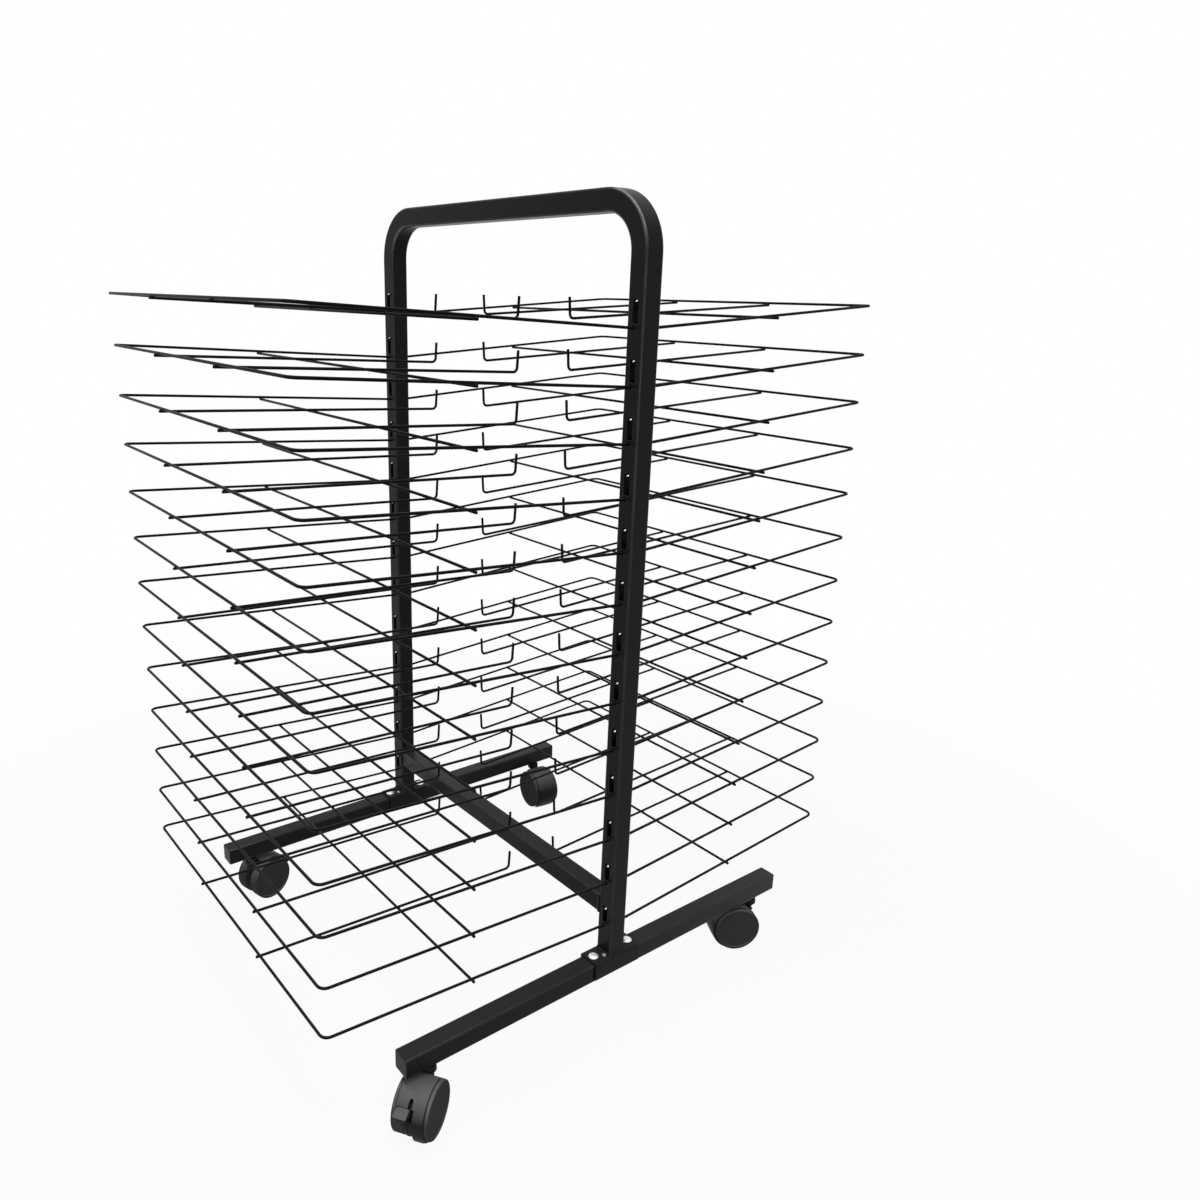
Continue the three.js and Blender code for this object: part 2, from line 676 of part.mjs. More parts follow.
// each caster: place of its stem, the way it trails (degrees from +X) and whether it has a brake
const CASTERS = [
  { place: "front_left", x: -STEM_X, y: -HALF_SPAN, trails: 213.5, braked: true },
  { place: "front_right", x: STEM_X, y: -HALF_SPAN, trails: 152, braked: false },
  { place: "back_left", x: -STEM_X, y: HALF_SPAN, trails: 14.5, braked: true },
  { place: "back_right", x: STEM_X, y: HALF_SPAN, trails: 262, braked: false },
];
for (const { place, x, y, trails, braked } of CASTERS) {
  const set = (geometry) => {
    const placed = geometry.clone().translate(TRAIL, 0, WHEEL_R);
    return placed.rotateZ(THREE.MathUtils.degToRad(trails)).translate(x, y, 0);
  };
  rack.add(piece(`${place}_stem`, stem.clone().translate(x, y, 0), steel));
  rack.add(piece(`${place}_hood`, set(braked ? brakedHood : plainHood), plastic));
  rack.add(piece(`${place}_axle`, set(axle), steel));
  rack.add(piece(`${place}_wheel_a`, set(wheel), tread));
  rack.add(piece(`${place}_wheel_b`, set(wheel.clone().rotateX(Math.PI)), tread));
  if (braked) {
    rack.add(piece(`${place}_brake_pedal`, set(pedal), plastic));
  }
}

export default rack;
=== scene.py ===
"""Art drying rack: a bent square-tube hoop with wire shelves on both sides, on four twin-wheel casters.

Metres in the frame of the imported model: +Z up, +X along the feet, front upright at -Y, floor at Z = 0.
"""

import math

import bmesh
import bpy
import numpy as np
from bpy.props import FloatProperty, FloatVectorProperty, IntProperty, PointerProperty
from mathutils import Matrix, Vector


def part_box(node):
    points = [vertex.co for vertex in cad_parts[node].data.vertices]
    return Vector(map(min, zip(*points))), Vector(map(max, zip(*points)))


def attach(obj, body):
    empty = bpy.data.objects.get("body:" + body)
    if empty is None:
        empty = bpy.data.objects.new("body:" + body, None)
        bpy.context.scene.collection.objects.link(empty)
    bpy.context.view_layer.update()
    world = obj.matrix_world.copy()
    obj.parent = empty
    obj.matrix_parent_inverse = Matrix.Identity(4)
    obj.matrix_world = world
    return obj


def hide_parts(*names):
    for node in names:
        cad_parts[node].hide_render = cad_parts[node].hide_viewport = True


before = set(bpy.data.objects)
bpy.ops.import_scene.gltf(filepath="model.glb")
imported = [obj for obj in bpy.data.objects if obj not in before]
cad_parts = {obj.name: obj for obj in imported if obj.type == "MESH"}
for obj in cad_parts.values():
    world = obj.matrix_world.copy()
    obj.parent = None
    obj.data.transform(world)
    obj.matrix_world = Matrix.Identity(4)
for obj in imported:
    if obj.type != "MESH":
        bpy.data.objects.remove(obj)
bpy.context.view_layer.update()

bl_info = {
    "name": "Art Drying Rack",
    "version": (1, 0, 0),
    "blender": (4, 5, 0),
    "location": "View3D > Sidebar > Rack",
    "description": "Builds a wire drying rack piece by piece around its packed frame",
    "category": "Add Mesh",
}

HOOP_LOW, HOOP_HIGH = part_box("frame_hoop")
FOOT_LOW, FOOT_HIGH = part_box("front_foot")
SADDLE_LOW, SADDLE_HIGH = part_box("front_saddle")
RAIL_LOW, RAIL_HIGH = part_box("cross_rail")
STEM_LOW, STEM_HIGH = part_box("front_right_stem")
SPAN = HOOP_HIGH.y - (HOOP_HIGH.x - HOOP_LOW.x) / 2
MM = 0.001
WELD_STEP = 1e-6
HOLD = 0.3 * MM
CELL_SIDE = 6
ENDS = (("front", -1.0), ("back", 1.0))
SIDES = (("left", -1.0), ("right", 1.0))
CASTERS = (
    ("front_left", -1.0, -1.0, 213.5, True),
    ("front_right", 1.0, -1.0, 152.0, False),
    ("back_left", -1.0, 1.0, 14.5, True),
    ("back_right", 1.0, 1.0, 262.0, False),
)


def length(name, description, default):
    """A size in metres that a user may change."""
    return FloatProperty(name=name, description=description, default=default, min=0.0, precision=5, unit="LENGTH")


def angle(name, description, degrees):
    """An angle that a user may change, its default given in degrees."""
    return FloatProperty(name=name, description=description, default=math.radians(degrees), subtype="ANGLE")


def colour(name, description, default):
    """A linear colour that a user may change."""
    return FloatVectorProperty(
        name=name, description=description, default=default, size=3, min=0.0, max=1.0, subtype="COLOR"
    )


class RackTubes(bpy.types.PropertyGroup):
    """Sizes of the square tubes, the saddles and what holds them."""

    side: length("Tube side", "Outside width of the square tube", HOOP_HIGH.x - HOOP_LOW.x)
    corner: length("Tube corner", "Outside radius of the tube's corners", 2.0 * MM)
    wall: length("Tube wall", "Thickness of the tube's wall", 1.5 * MM)
    bend: length("Hoop bend", "Radius of the hoop's bends at the centre line", 48.0 * MM)
    plate: length("Saddle plate", "Thickness of the saddle's plate", 2.0 * MM)
    fold: length("Saddle fold", "Outside radius of the saddle's folds", 2.0 * MM)
    bead: length("Weld bead", "Radius of the weld beads", 1.5 * MM)
    end_round: length("Foot end", "Rounding of the edges of the closed foot ends", 1.1 * MM)
    bolt_x: length("Bolt place", "Distance of a saddle bolt from the upright's middle", 25.5 * MM)
    bolt_radius: length("Bolt head", "Radius of a saddle bolt's head", 5.8 * MM)
    bolt_height: length("Bolt height", "Height of a saddle bolt's head", 2.8 * MM)
    rivet_radius: length("Rivet head", "Radius of a rivet's dome", 2.7 * MM)
    rivet_height: length("Rivet height", "Height of a rivet's dome", 2.6 * MM)


class RackShelves(bpy.types.PropertyGroup):
    """Sizes of the wire shelves and of the slots and holes that carry them."""

    levels: IntProperty(name="Levels", description="Shelves on each side", default=13, min=1, max=99)
    low: length("Lowest level", "Height of the lowest shelf's wire at the upright", 127.0 * MM)
    pitch: length("Pitch", "Height from one level to the next", 54.5 * MM)
    wire: length("Wire radius", "Radius of the shelf wire", 1.5 * MM)
    sink: length("Weld depth", "How far crossing wires sink into each other", 0.4 * MM)
    tilt: angle("Tilt", "Rise of a shelf away from the upright", 3.6)
    shift: length("Side shift", "Shift of a shelf along the hoop, past the one opposite", 1.95 * MM)
    outer: length("Reach", "Distance of the outer wire from the upright's middle", 357.0 * MM)
    corner: length("Corner bend", "Radius of the outer corners of the wire", 8.0 * MM)
    cross: length("Cross wire", "Distance of the cross wire from the upright's middle", 190.0 * MM)
    stop_x: length("Stop place", "Distance of the upturned stops from the upright's middle", 34.0 * MM)
    stop_y: length("Stop spread", "Distance of a stop wire from the middle of the shelf", 80.0 * MM)
    stop_rise: length("Stop height", "Height of the upturned stops", 25.0 * MM)
    stop_bend: length("Stop bend", "Radius of the stops' bend", 5.0 * MM)
    nub: length("Wire ends", "How far welded wires run past each other", 3.0 * MM)
    crank: length("Crank place", "Distance of the crank bend inside the pivot", 2.8 * MM)
    crank_bend: length("Crank bend", "Radius of the crank bend", 2.5 * MM)
    arm: angle("Arm slope", "Slope of the cranked arm inside the upright", 52.0)
    tip: length("Arm tip", "How far the arm's tip shows outside the slot", 1.2 * MM)
    slot_half: length("Slot half width", "Half the width of a slot", 3.9 * MM)
    slot_low: length("Slot bottom", "Bottom of a slot above its pivot line", 5.5 * MM)
    slot_round: length("Slot corner", "Radius of a slot's corners", 1.6 * MM)
    hole_y: length("Hole half width", "Half the width of a pivot hole", 2.25 * MM)
    hole_z: length("Hole half height", "Half the height of a pivot hole", 2.7 * MM)
    hole_rise: length("Hole rise", "Height of a hole's middle above the wire's", 0.35 * MM)


class RackCasters(bpy.types.PropertyGroup):
    """Sizes of the casters, about an axle with x the trailing way and y along the axle."""

    stem_x: length("Stem place", "Distance of a stem from the middle of its foot", 244.9 * MM)
    trail: length("Trail", "Distance of the axle from the stem", 20.0 * MM)
    radius: length("Wheel radius", "Outside radius of a wheel", 29.0 * MM)
    inside: length("Wheel inside", "Inner face of a wheel from the caster's middle", 5.0 * MM)
    outside: length("Wheel outside", "Outer face of a wheel from the caster's middle", 20.0 * MM)
    rim: length("Rim width", "Width of the raised rim around a wheel's disc", 3.6 * MM)
    recess: length("Disc recess", "Depth of a wheel's disc under its rim", 0.8 * MM)
    axle: length("Axle radius", "Radius of the axle", 3.0 * MM)
    axle_half: length("Axle half length", "Half the length of the axle", 17.0 * MM)
    shell_in: length("Hood inside", "Inner radius of the hood's shell", 29.9 * MM)
    shell_out: length("Hood outside", "Outer radius of the hood's shell", 31.9 * MM)
    shell_half: length("Hood half width", "Half the width of the hood's shell", 16.4 * MM)
    shell_low: angle("Hood low end", "Angle of the shell's lower end about the axle", -58.0)
    shell_high: angle("Hood high end", "Angle of the shell's upper end about the axle", 112.0)
    crown: length("Hood crown", "How much higher the hood's middle is than its sides", 0.5 * MM)
    lip: length("Hood lip", "How far the hood's sides round over", 1.5 * MM)
    web_half: length("Web half width", "Half the width of the web between the wheels", 4.5 * MM)
    web_low: angle("Web low end", "Angle of the web's lower end about the axle", -58.0)
    web_high: angle("Web high end", "Angle of the web's upper end about the axle", 142.0)
    hub: length("Hub radius", "Radius of the web around the axle", 8.0 * MM)
    boss: length("Boss radius", "Radius of the boss around the stem", 8.0 * MM)
    boss_low: length("Boss bottom", "Height of the boss's lower end above the floor", 56.5 * MM)
    boss_top: length("Boss top", "Height of the boss's top above the floor", 63.5 * MM)
    neck: length("Neck half width", "Half the width of the neck under the boss", 6.0 * MM)
    stem: length("Stem radius", "Radius of the stem's pin", 4.0 * MM)
    collar: length("Collar radius", "Radius of the stem's collar", 5.6 * MM)
    pedal_in: length("Pedal inside", "Inner radius of the brake pedal", 30.8 * MM)
    pedal_root: length("Pedal root", "Radius of the pedal's top where it leaves the hood", 32.4 * MM)
    pedal_out: length("Pedal lip", "Outer radius of the pedal's lip", 37.6 * MM)
    pedal_far: length("Pedal far side", "Distance of the pedal's far side from the caster's middle", 14.8 * MM)
    pedal_low: angle("Pedal underside", "Angle of the pedal's underside about the axle", 16.5)
    pedal_edge: angle("Pedal edge", "Angle of the top of the pedal's lip about the axle", 20.5)
    pedal_high: angle("Pedal high end", "Angle of the pedal's root about the axle", 35.0)
    pedal_slot: length("Pedal slot half", "Half the width of the slot for the pedal's tongue", 2.2 * MM)
    slot_high: angle("Pedal slot end", "Angle of the slot's upper end about the axle", 53.0)
    slot_deep: length("Pedal slot depth", "Radius of the bottom of the tongue's slot", 18.0 * MM)
    cut_near: length("Pedal cut side", "Side of the pedal's cut-out past the caster's middle", 4.6 * MM)
    cut_high: angle("Pedal cut end", "Angle of the upper end of the pedal's cut-out", 36.0)
    pivot_out: length("Pedal pivot", "Distance of the pedal's pivot from the axle", 23.5 * MM)
    pivot_at: angle("Pedal pivot angle", "Angle of the pedal's pivot about the axle", 42.0)
    pivot_hub: length("Pivot hub", "Radius of the tongue around its pivot", 3.4 * MM)
    trunnion: length("Trunnion radius", "Radius of the pedal's trunnions", 2.0 * MM)
    trunnion_half: length("Trunnion half length", "Half the length of the trunnions", 3.8 * MM)
    tongue: length("Tongue half", "Half the thickness of the pedal's tongue", 1.4 * MM)


class RackFinish(bpy.types.PropertyGroup):
    """Colours of the finishes."""

    tube: colour("Tube coat", "Powder coat of the tubes and saddles", (0.0070, 0.0069, 0.0077))
    # painted highlight: a light tone mixed into the coat along the tube corners, strongest on the hoop's bends, where
    # lamps would glint; also rubbed edges
    edge_wear_and_highlight_tone: colour("Tube edges", "Powder coat where edges have rubbed", (0.16, 0.16, 0.165))
    dust: colour("Dust", "Fine dust on faces that look up", (0.085, 0.084, 0.082))
    wire: colour("Wire coat", "Coat of the shelf wires", (0.0032, 0.0032, 0.0035))
    cut_wire: colour("Cut wire", "Bare steel of the cut wire tips", (0.52, 0.52, 0.53))
    hood: colour("Hood plastic", "Moulded plastic of the hoods and pedals", (0.014, 0.014, 0.0147))
    wheel: colour("Wheel plastic", "Moulded plastic of the wheels", (0.037, 0.0362, 0.037))
    zinc: colour("Zinc", "Plating of the bolt heads", (0.93, 0.935, 0.94))
    steel: colour("Steel", "Plain steel of rivets and axles", (0.30, 0.30, 0.31))
    # blackened steel, made darker still as painted shade for the stems that stand in the foot's shadow
    shaded_dark_steel: colour("Dark steel", "Blackened steel of the caster stems", (0.012, 0.012, 0.0125))


class RackStage(bpy.types.PropertyGroup):
    """Camera, floor and light."""

    camera_at: FloatVectorProperty(
        name="Camera", description="Place of the camera", default=(-0.6664, -0.9195, 0.8129), subtype="TRANSLATION"
    )
    yaw: angle("Yaw", "Turn of the view from +Y towards +X", 37.09)
    pitch: angle("Pitch", "Drop of the view below level", 17.106)
    roll: angle("Roll", "Roll of the camera", 1.0)
    lens: FloatProperty(name="Lens", description="Focal length in millimetres", default=29.29, min=1.0)
    shift_x: FloatProperty(name="Shift X", description="Sideways shift of the frame", default=0.0703)
    shift_y: FloatProperty(name="Shift Y", description="Upward shift of the frame", default=-0.0076)
    floor: colour("Floor", "Colour of the floor", (0.7, 0.7, 0.7))
    paper: FloatProperty(name="Plain share", description="Share of plain white in the floor", default=0.93, min=0.0, max=1.0)
    surround: FloatProperty(name="Surround", description="Strength of the light all around", default=0.3, min=0.0)
    key: FloatProperty(name="Key light", description="Power of the light above", default=34.0, min=0.0, unit="POWER")
    fill: FloatProperty(name="Fill light", description="Power of the light on the left", default=9.0, min=0.0, unit="POWER")


def unit(v):
    """Vectors divided by their own length."""
    return v / np.linalg.norm(v, axis=-1, keepdims=True)


def grid_faces(grid, edge=0.0):
    """Four-cornered faces between neighbouring points of a grid, with a value of wear and painted highlight beside each
    place.
    """
    wear = np.broadcast_to(edge, grid.shape[:2])[..., None]
    g = np.concatenate([grid, wear], axis=2)
    return np.stack([g[:-1, :-1], g[:-1, 1:], g[1:, 1:], g[1:, :-1]], axis=2)


def flat_list(faces):
    """Faces of any grid shape as one plain list of faces."""
    return faces.reshape(-1, 4, 4)


def square_loop(side, radius, steps=4):
    """Closed outline of a square with rounded corners, and its wear with painted highlight: each corner is an arc
    of the radius about (flat, flat), with one point HOLD before and after it so that the flats shade flat, turned by
    quarter turns."""
    flat = side / 2 - radius
    a = np.linspace(0.0, math.pi / 2, steps + 1)
    arc = np.stack([flat + radius * np.cos(a), flat + radius * np.sin(a)], axis=1)
    block = np.concatenate([[[side / 2, flat - HOLD]], arc, [[flat - HOLD, side / 2]]])
    turns = np.array([[[1, 0], [0, 1]], [[0, 1], [-1, 0]], [[-1, 0], [0, -1]], [[0, -1], [1, 0]]], float)
    loop = np.concatenate(block @ turns)
    wear = np.tile(np.concatenate([[0.0], np.ones(steps + 1), [0.0]]), 4)
    return np.vstack([loop, loop[:1]]), np.append(wear, wear[0])


def carry(loop, centres, across, rise):
    """A section carried along a path: point = centre + u * across + v * rise at each station."""
    return centres[:, None] + loop[None, :, :1] * across[:, None] + loop[None, :, 1:] * rise[:, None]


def bent_line(corners, radii, steps):
    """Centre line through corners, each inner one cut by an arc: the arc starts r * tan(turn / 2) before the
    corner, and its points are centre - side * r * cos(a) + inward * r * sin(a). Gives points and headings."""
    corners = np.asarray(corners, float)
    first, last = unit(corners[1] - corners[0]), unit(corners[-1] - corners[-2])
    points, headings = [corners[:1]], [first[None]]
    for before, at, after, radius in zip(corners[:-2], corners[1:-1], corners[2:], radii):
        inward, onward = unit(at - before), unit(after - at)
        turn = math.acos(max(-1.0, min(1.0, float(inward @ onward))))
        side = unit(onward - inward * (inward @ onward))
        a = np.linspace(0.0, turn, steps + 1)[:, None]
        centre = at - inward * radius * math.tan(turn / 2) + side * radius
        points.append(centre - side * radius * np.cos(a) + inward * radius * np.sin(a))
        headings.append(inward * np.cos(a) + side * np.sin(a))
    points.append(corners[-1:])
    headings.append(last[None])
    return np.concatenate(points), np.concatenate(headings)


def rounds(points, headings, radii, sides):
    """Rings square to a path: centre + r * (cos a * n + sin a * b), with n and b square to the heading."""
    lead = unit(np.array([1.0, 1.0, 1.0]))
    n = unit(lead - (headings @ lead)[:, None] * headings)
    b = np.cross(headings, n)
    a = np.linspace(0.0, 2 * math.pi, sides + 1)[None, :, None]
    return points[:, None] + radii[:, None, None] * (np.cos(a) * n[:, None] + np.sin(a) * b[:, None])


def round_wire(corners, radii, radius, steps=6, sides=12, chamfer=0.35 * MM):
    """Round wire along a bent line, its two cut ends closed by a chamfer and a flat disc."""
    points, headings = bent_line(corners, radii, steps)
    head, tail = headings[:1] * chamfer, headings[-1:] * chamfer
    spots = np.concatenate([points[:1], points[:1], points[:1] + head, points[1:-1]])
    spots = np.concatenate([spots, points[-1:] - tail, points[-1:], points[-1:]])
    ways = np.concatenate([np.repeat(headings[:1], 3, 0), headings[1:-1], np.repeat(headings[-1:], 3, 0)])
    width = np.full(len(spots), radius)
    width[[0, -1]] = 0.0
    width[[1, -2]] = radius - chamfer
    return rounds(spots, ways, width, sides)


def turned(profile, sides, axis=2):
    """Turned form: (radius, height) pairs spun about an axis, with whole rings of points."""
    a = np.linspace(0.0, 2 * math.pi, sides + 1)[None, :]
    r, h = profile[:, :1], profile[:, 1:2]
    parts = [r * np.cos(a), r * np.sin(a)]
    parts.insert(axis, np.broadcast_to(h, parts[0].shape))
    return np.stack(parts, axis=2)


def profile_line(pairs, radii, steps=4):
    """Profile through (radius, height) pairs with rounded inner corners."""
    corners = [(r, h, 0.0) for r, h in pairs]
    return bent_line(corners, radii, steps)[0][:, :2]


def nugget(centre, sizes, rows=6, sides=10):
    """Small weld nugget: an ellipsoid, centre + sizes * (cos p cos a, cos p sin a, sin p)."""
    p = np.linspace(-math.pi / 2, math.pi / 2, rows + 1)[:, None]
    a = np.linspace(0.0, 2 * math.pi, sides + 1)[None, :]
    ball = np.stack([np.cos(p) * np.cos(a), np.cos(p) * np.sin(a), np.sin(p) + 0 * a], axis=2)
    return np.asarray(centre) + ball * np.asarray(sizes)


def bead_ring(loop, across, rise, centre, radius, ripples):
    """Weld bead around a square joint: a round section carried along the closed outline, its radius rippled by
    1 + 0.16 * |sin| along the seam, like puddles laid one on another."""
    path = centre + loop[:, :1] * across + loop[:, 1:] * rise
    seam = np.concatenate([[0.0], np.cumsum(np.linalg.norm(np.diff(path, axis=0), axis=1))])
    t = np.linspace(0.0, seam[-1], ripples * 4 + 1)
    spots = np.stack([np.interp(t, seam, path[:, k]) for k in range(3)], axis=1)
    ways = unit(np.roll(spots[:-1], -1, 0) - np.roll(spots[:-1], 1, 0))
    ways = np.concatenate([ways, ways[:1]])
    face = np.cross(across, rise)
    out = np.cross(ways, face)
    a = np.linspace(0.0, 2 * math.pi, 9)[None, :, None]
    r = radius * (1.0 + 0.16 * np.abs(np.sin(np.linspace(0.0, math.pi * ripples, len(t)))))[:, None, None]
    return spots[:, None] + r * (np.cos(a) * out[:, None] + np.sin(a) * face[None, None])


def closed_line(corners, radii, steps=3):
    """Closed outline through corners of the (x, z) plane, each rounded by its radius, from the middle of its last side."""
    start = (np.asarray(corners[0]) + np.asarray(corners[-1])) / 2
    flat = [(x, 0.0, z) for x, z in (start, *corners, start)]
    return bent_line(flat, radii, steps)[0]


def slab(outlines, places, ease):
    """Block along the axle: closed outlines at places along Y, the first and last drawn towards their middle by
    ease * (1 - cos a) while they run out to ease * (1 - sin a) short of the end, then closed to the middle."""
    a = np.linspace(0.0, math.pi / 2, 4)
    rings = []
    for outline, place, out in ((outlines[0], places[0], -1.0), (outlines[-1], places[-1], 1.0)):
        middle = outline[:-1].mean(axis=0)
        size = np.linalg.norm(outline - middle, axis=1).mean()
        shrink = [1.0 - ease * (1.0 - math.cos(k)) / size for k in a]
        ends = [middle + f * (outline - middle) + [0.0, place - out * ease * (1.0 - math.sin(k)), 0.0] for f, k in zip(shrink, a)]
        ends.append(0.0 * outline + middle + [0.0, place, 0.0])
        rings.append(ends)
    inner = [outline + [0.0, place, 0.0] for outline, place in zip(outlines[1:-1], places[1:-1])]
    return flat_list(grid_faces(np.stack(rings[0][::-1] + inner + rings[1])))


def weld(faces):
    """Faces whose corners share a place share a vertex there; a side of no length drops out of its face."""
    corners = faces.reshape(-1, 4)
    key = np.round(corners[:, :3] / WELD_STEP).astype(np.int64)
    _, first, index = np.unique(key, axis=0, return_index=True, return_inverse=True)
    index = index.reshape(-1, 4)
    keep = index != np.roll(index, 1, axis=1)
    sides = keep.sum(axis=1)
    whole, three = sides == 4, sides == 3
    order = np.concatenate([np.flatnonzero(whole), np.flatnonzero(three)])
    triples = index[three][keep[three]].reshape(-1, 3)
    return corners[first], index[whole].tolist() + triples.tolist(), order


def put(name, parts, finishes, body, node=None, bevel=0.0, sharp=38.0):
    """One finished piece from lists of faces: parts are (faces, finish number) pairs. The piece rides on a body,
    stands for a node and takes the finishes named for it."""
    faces = np.concatenate([flat_list(f) for f, _ in parts])
    numbers = np.concatenate([np.full(flat_list(f).shape[0], k) for f, k in parts])
    corners, loops, order = weld(faces)
    mesh = bpy.data.meshes.new(name)
    mesh.from_pydata(corners[:, :3].tolist(), [], loops)
    mesh.attributes.new("wear", "FLOAT", "POINT").data.foreach_set("value", corners[:, 3].astype(np.float32))
    for finish in finishes:
        mesh.materials.append(bpy.data.materials[finish])
    mesh.polygons.foreach_set("material_index", numbers[order].astype(np.int32))
    mesh.polygons.foreach_set("use_smooth", np.ones(len(mesh.polygons), bool))
    turn = bmesh.new()
    turn.from_mesh(mesh)
    bmesh.ops.recalc_face_normals(turn, faces=turn.faces)
    turn.to_mesh(mesh)
    turn.free()
    mesh.set_sharp_from_angle(angle=math.radians(sharp))
    mesh.update()
    piece = bpy.data.objects.new(name, mesh)
    bpy.context.scene.collection.objects.link(piece)
    if bevel:
        soft = piece.modifiers.new("soft_edges", "BEVEL")
        soft.width = bevel
        soft.segments = 3
        soft.limit_method = "ANGLE"
        soft.angle_limit = math.radians(sharp)
        soft.harden_normals = True
    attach(piece, body)
    if node:
        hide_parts(*([node] if isinstance(node, str) else node))
    return piece


def one(*grids, edge=0.0):
    """Grids of one finish as a single part."""
    return [(np.concatenate([flat_list(grid_faces(g, edge)) for g in grids]), 0)]


class Value:
    """A socket that takes part in sums; each operator adds one Math node."""

    def __init__(self, shader, socket):
        self.shader = shader
        self.socket = socket

    def math(self, operation, first, second):
        node = self.shader.node("ShaderNodeMath", {"operation": operation}, {0: first, 1: second})
        return Value(self.shader, node.outputs[0])

    def __add__(self, other):
        return self.math("ADD", self, other)

    def __radd__(self, other):
        return self.math("ADD", other, self)

    def __sub__(self, other):
        return self.math("SUBTRACT", self, other)

    def __rsub__(self, other):
        return self.math("SUBTRACT", other, self)

    def __mul__(self, other):
        return self.math("MULTIPLY", self, other)

    def __rmul__(self, other):
        return self.math("MULTIPLY", other, self)

    def __truediv__(self, other):
        return self.math("DIVIDE", self, other)

    def __rtruediv__(self, other):
        return self.math("DIVIDE", other, self)

    def __pow__(self, other):
        return self.math("POWER", self, other)


class Shader:
    """A node tree under construction."""

    def __init__(self, tree):
        self.tree = tree
        self.tree.nodes.clear()

    def node(self, kind, settings=None, sockets=None):
        """A node of a type: its settings first, a ramp's stops among them, then values or links of its sockets."""
        made = self.tree.nodes.new(kind)
        for key, setting in (settings or {}).items():
            if key == "stops":
                ramp = made.color_ramp.elements
                while len(ramp) < len(setting):
                    ramp.new(1.0)
                for element, (place, shade) in zip(ramp, setting):
                    element.position = place
                    element.color = (shade, shade, shade, 1.0)
            else:
                setattr(made, key, setting)
        for key, given in (sockets or {}).items():
            socket = made.inputs[key]
            given = given.socket if isinstance(given, Value) else given
            if isinstance(given, bpy.types.NodeSocket):
                self.tree.links.new(given, socket)
            else:
                socket.default_value = given
        return made

    def value(self, kind, output, settings=None, sockets=None):
        """One output of a new node, ready for sums."""
        return Value(self, self.node(kind, settings, sockets).outputs[output])


class Finish(Shader):
    """A surface finish on Object coordinates, with one principled shader."""

    def __init__(self, name, **sockets):
        material = bpy.data.materials.new(name)
        material.use_nodes = True
        super().__init__(material.node_tree)
        self.shader = self.node("ShaderNodeBsdfPrincipled", None, sockets)
        self.node("ShaderNodeOutputMaterial", None, {"Surface": self.shader.outputs["BSDF"]})
        self.place = self.node("ShaderNodeTexCoord").outputs["Object"]
        self.wear = self.value("ShaderNodeAttribute", "Fac", {"attribute_name": "wear"})
        self.up = self.value("ShaderNodeSeparateXYZ", "Z", None, {0: self.node("ShaderNodeNewGeometry").outputs["Normal"]})

    def noise(self, scale, detail=2.0, roughness=0.5):
        """Noise from 0 to 1 on Object coordinates, scale in cells per metre."""
        sockets = {"Vector": self.place, "Scale": scale, "Detail": detail, "Roughness": roughness}
        return self.value("ShaderNodeTexNoise", "Fac", None, sockets)

    def ramp(self, factor, low, high):
        """0 below low, 1 above high and a straight rise between."""
        return self.value("ShaderNodeMapRange", "Result", {"clamp": True}, {0: factor, 1: low, 2: high, 3: 0.0, 4: 1.0})

    def blend(self, factor, first, second):
        """Mix of two colours."""
        pair = [c if isinstance(c, bpy.types.NodeSocket) else (*c, 1.0) for c in (first, second)]
        return self.node("ShaderNodeMix", {"data_type": "RGBA"}, {0: factor, 6: pair[0], 7: pair[1]}).outputs[2]

    def feed(self, name, given):
        """Links a value or colour to one of the shader's sockets."""
        socket = given.socket if isinstance(given, Value) else given
        self.tree.links.new(socket, self.shader.inputs[name])

    def bumps(self, height, strength, distance):
        """Surface relief from a height."""
        bump = self.node("ShaderNodeBump", None, {"Strength": strength, "Distance": distance, "Height": height})
        self.feed("Normal", bump.outputs["Normal"])


def coat_finish(name, base, edge, dust, gloss, peel, shine):
    """Powder coat: fine orange peel, cloudy gloss, rubbed edges lightened by a painted highlight, and a breath of dust
    on faces that look up.
    """
    f = Finish(name, **{"Specular IOR Level": shine, "Coat Roughness": 0.09})
    clouds = f.noise(14.0, 3.0)
    specks = f.ramp(f.noise(420.0, 4.0, 0.6), 0.62, 0.74)
    # edges: real rubbing plus a painted highlight, mixed in as a light tone in patches
    rubbed_and_highlight = f.wear * f.ramp(f.noise(60.0, 4.0, 0.6), 0.25, 0.75)
    settled = f.ramp(f.up, 0.35, 0.95) * (0.35 + 0.5 * clouds)
    shade = f.blend(0.08 * rubbed_and_highlight + 0.04 * specks, base, edge)
    f.feed("Base Color", f.blend(0.36 * settled, shade, dust))
    f.feed("Coat Weight", f.ramp(f.wear * (0.09 + 0.13 * clouds), 0.0, 1.0))
    f.feed("Roughness", gloss + 0.12 * clouds + 0.08 * settled - 0.05 * f.wear)
    f.bumps(f.noise(peel, 2.0) + 0.25 * f.noise(4.0 * peel, 1.0), 0.22, 0.00012)
    return f


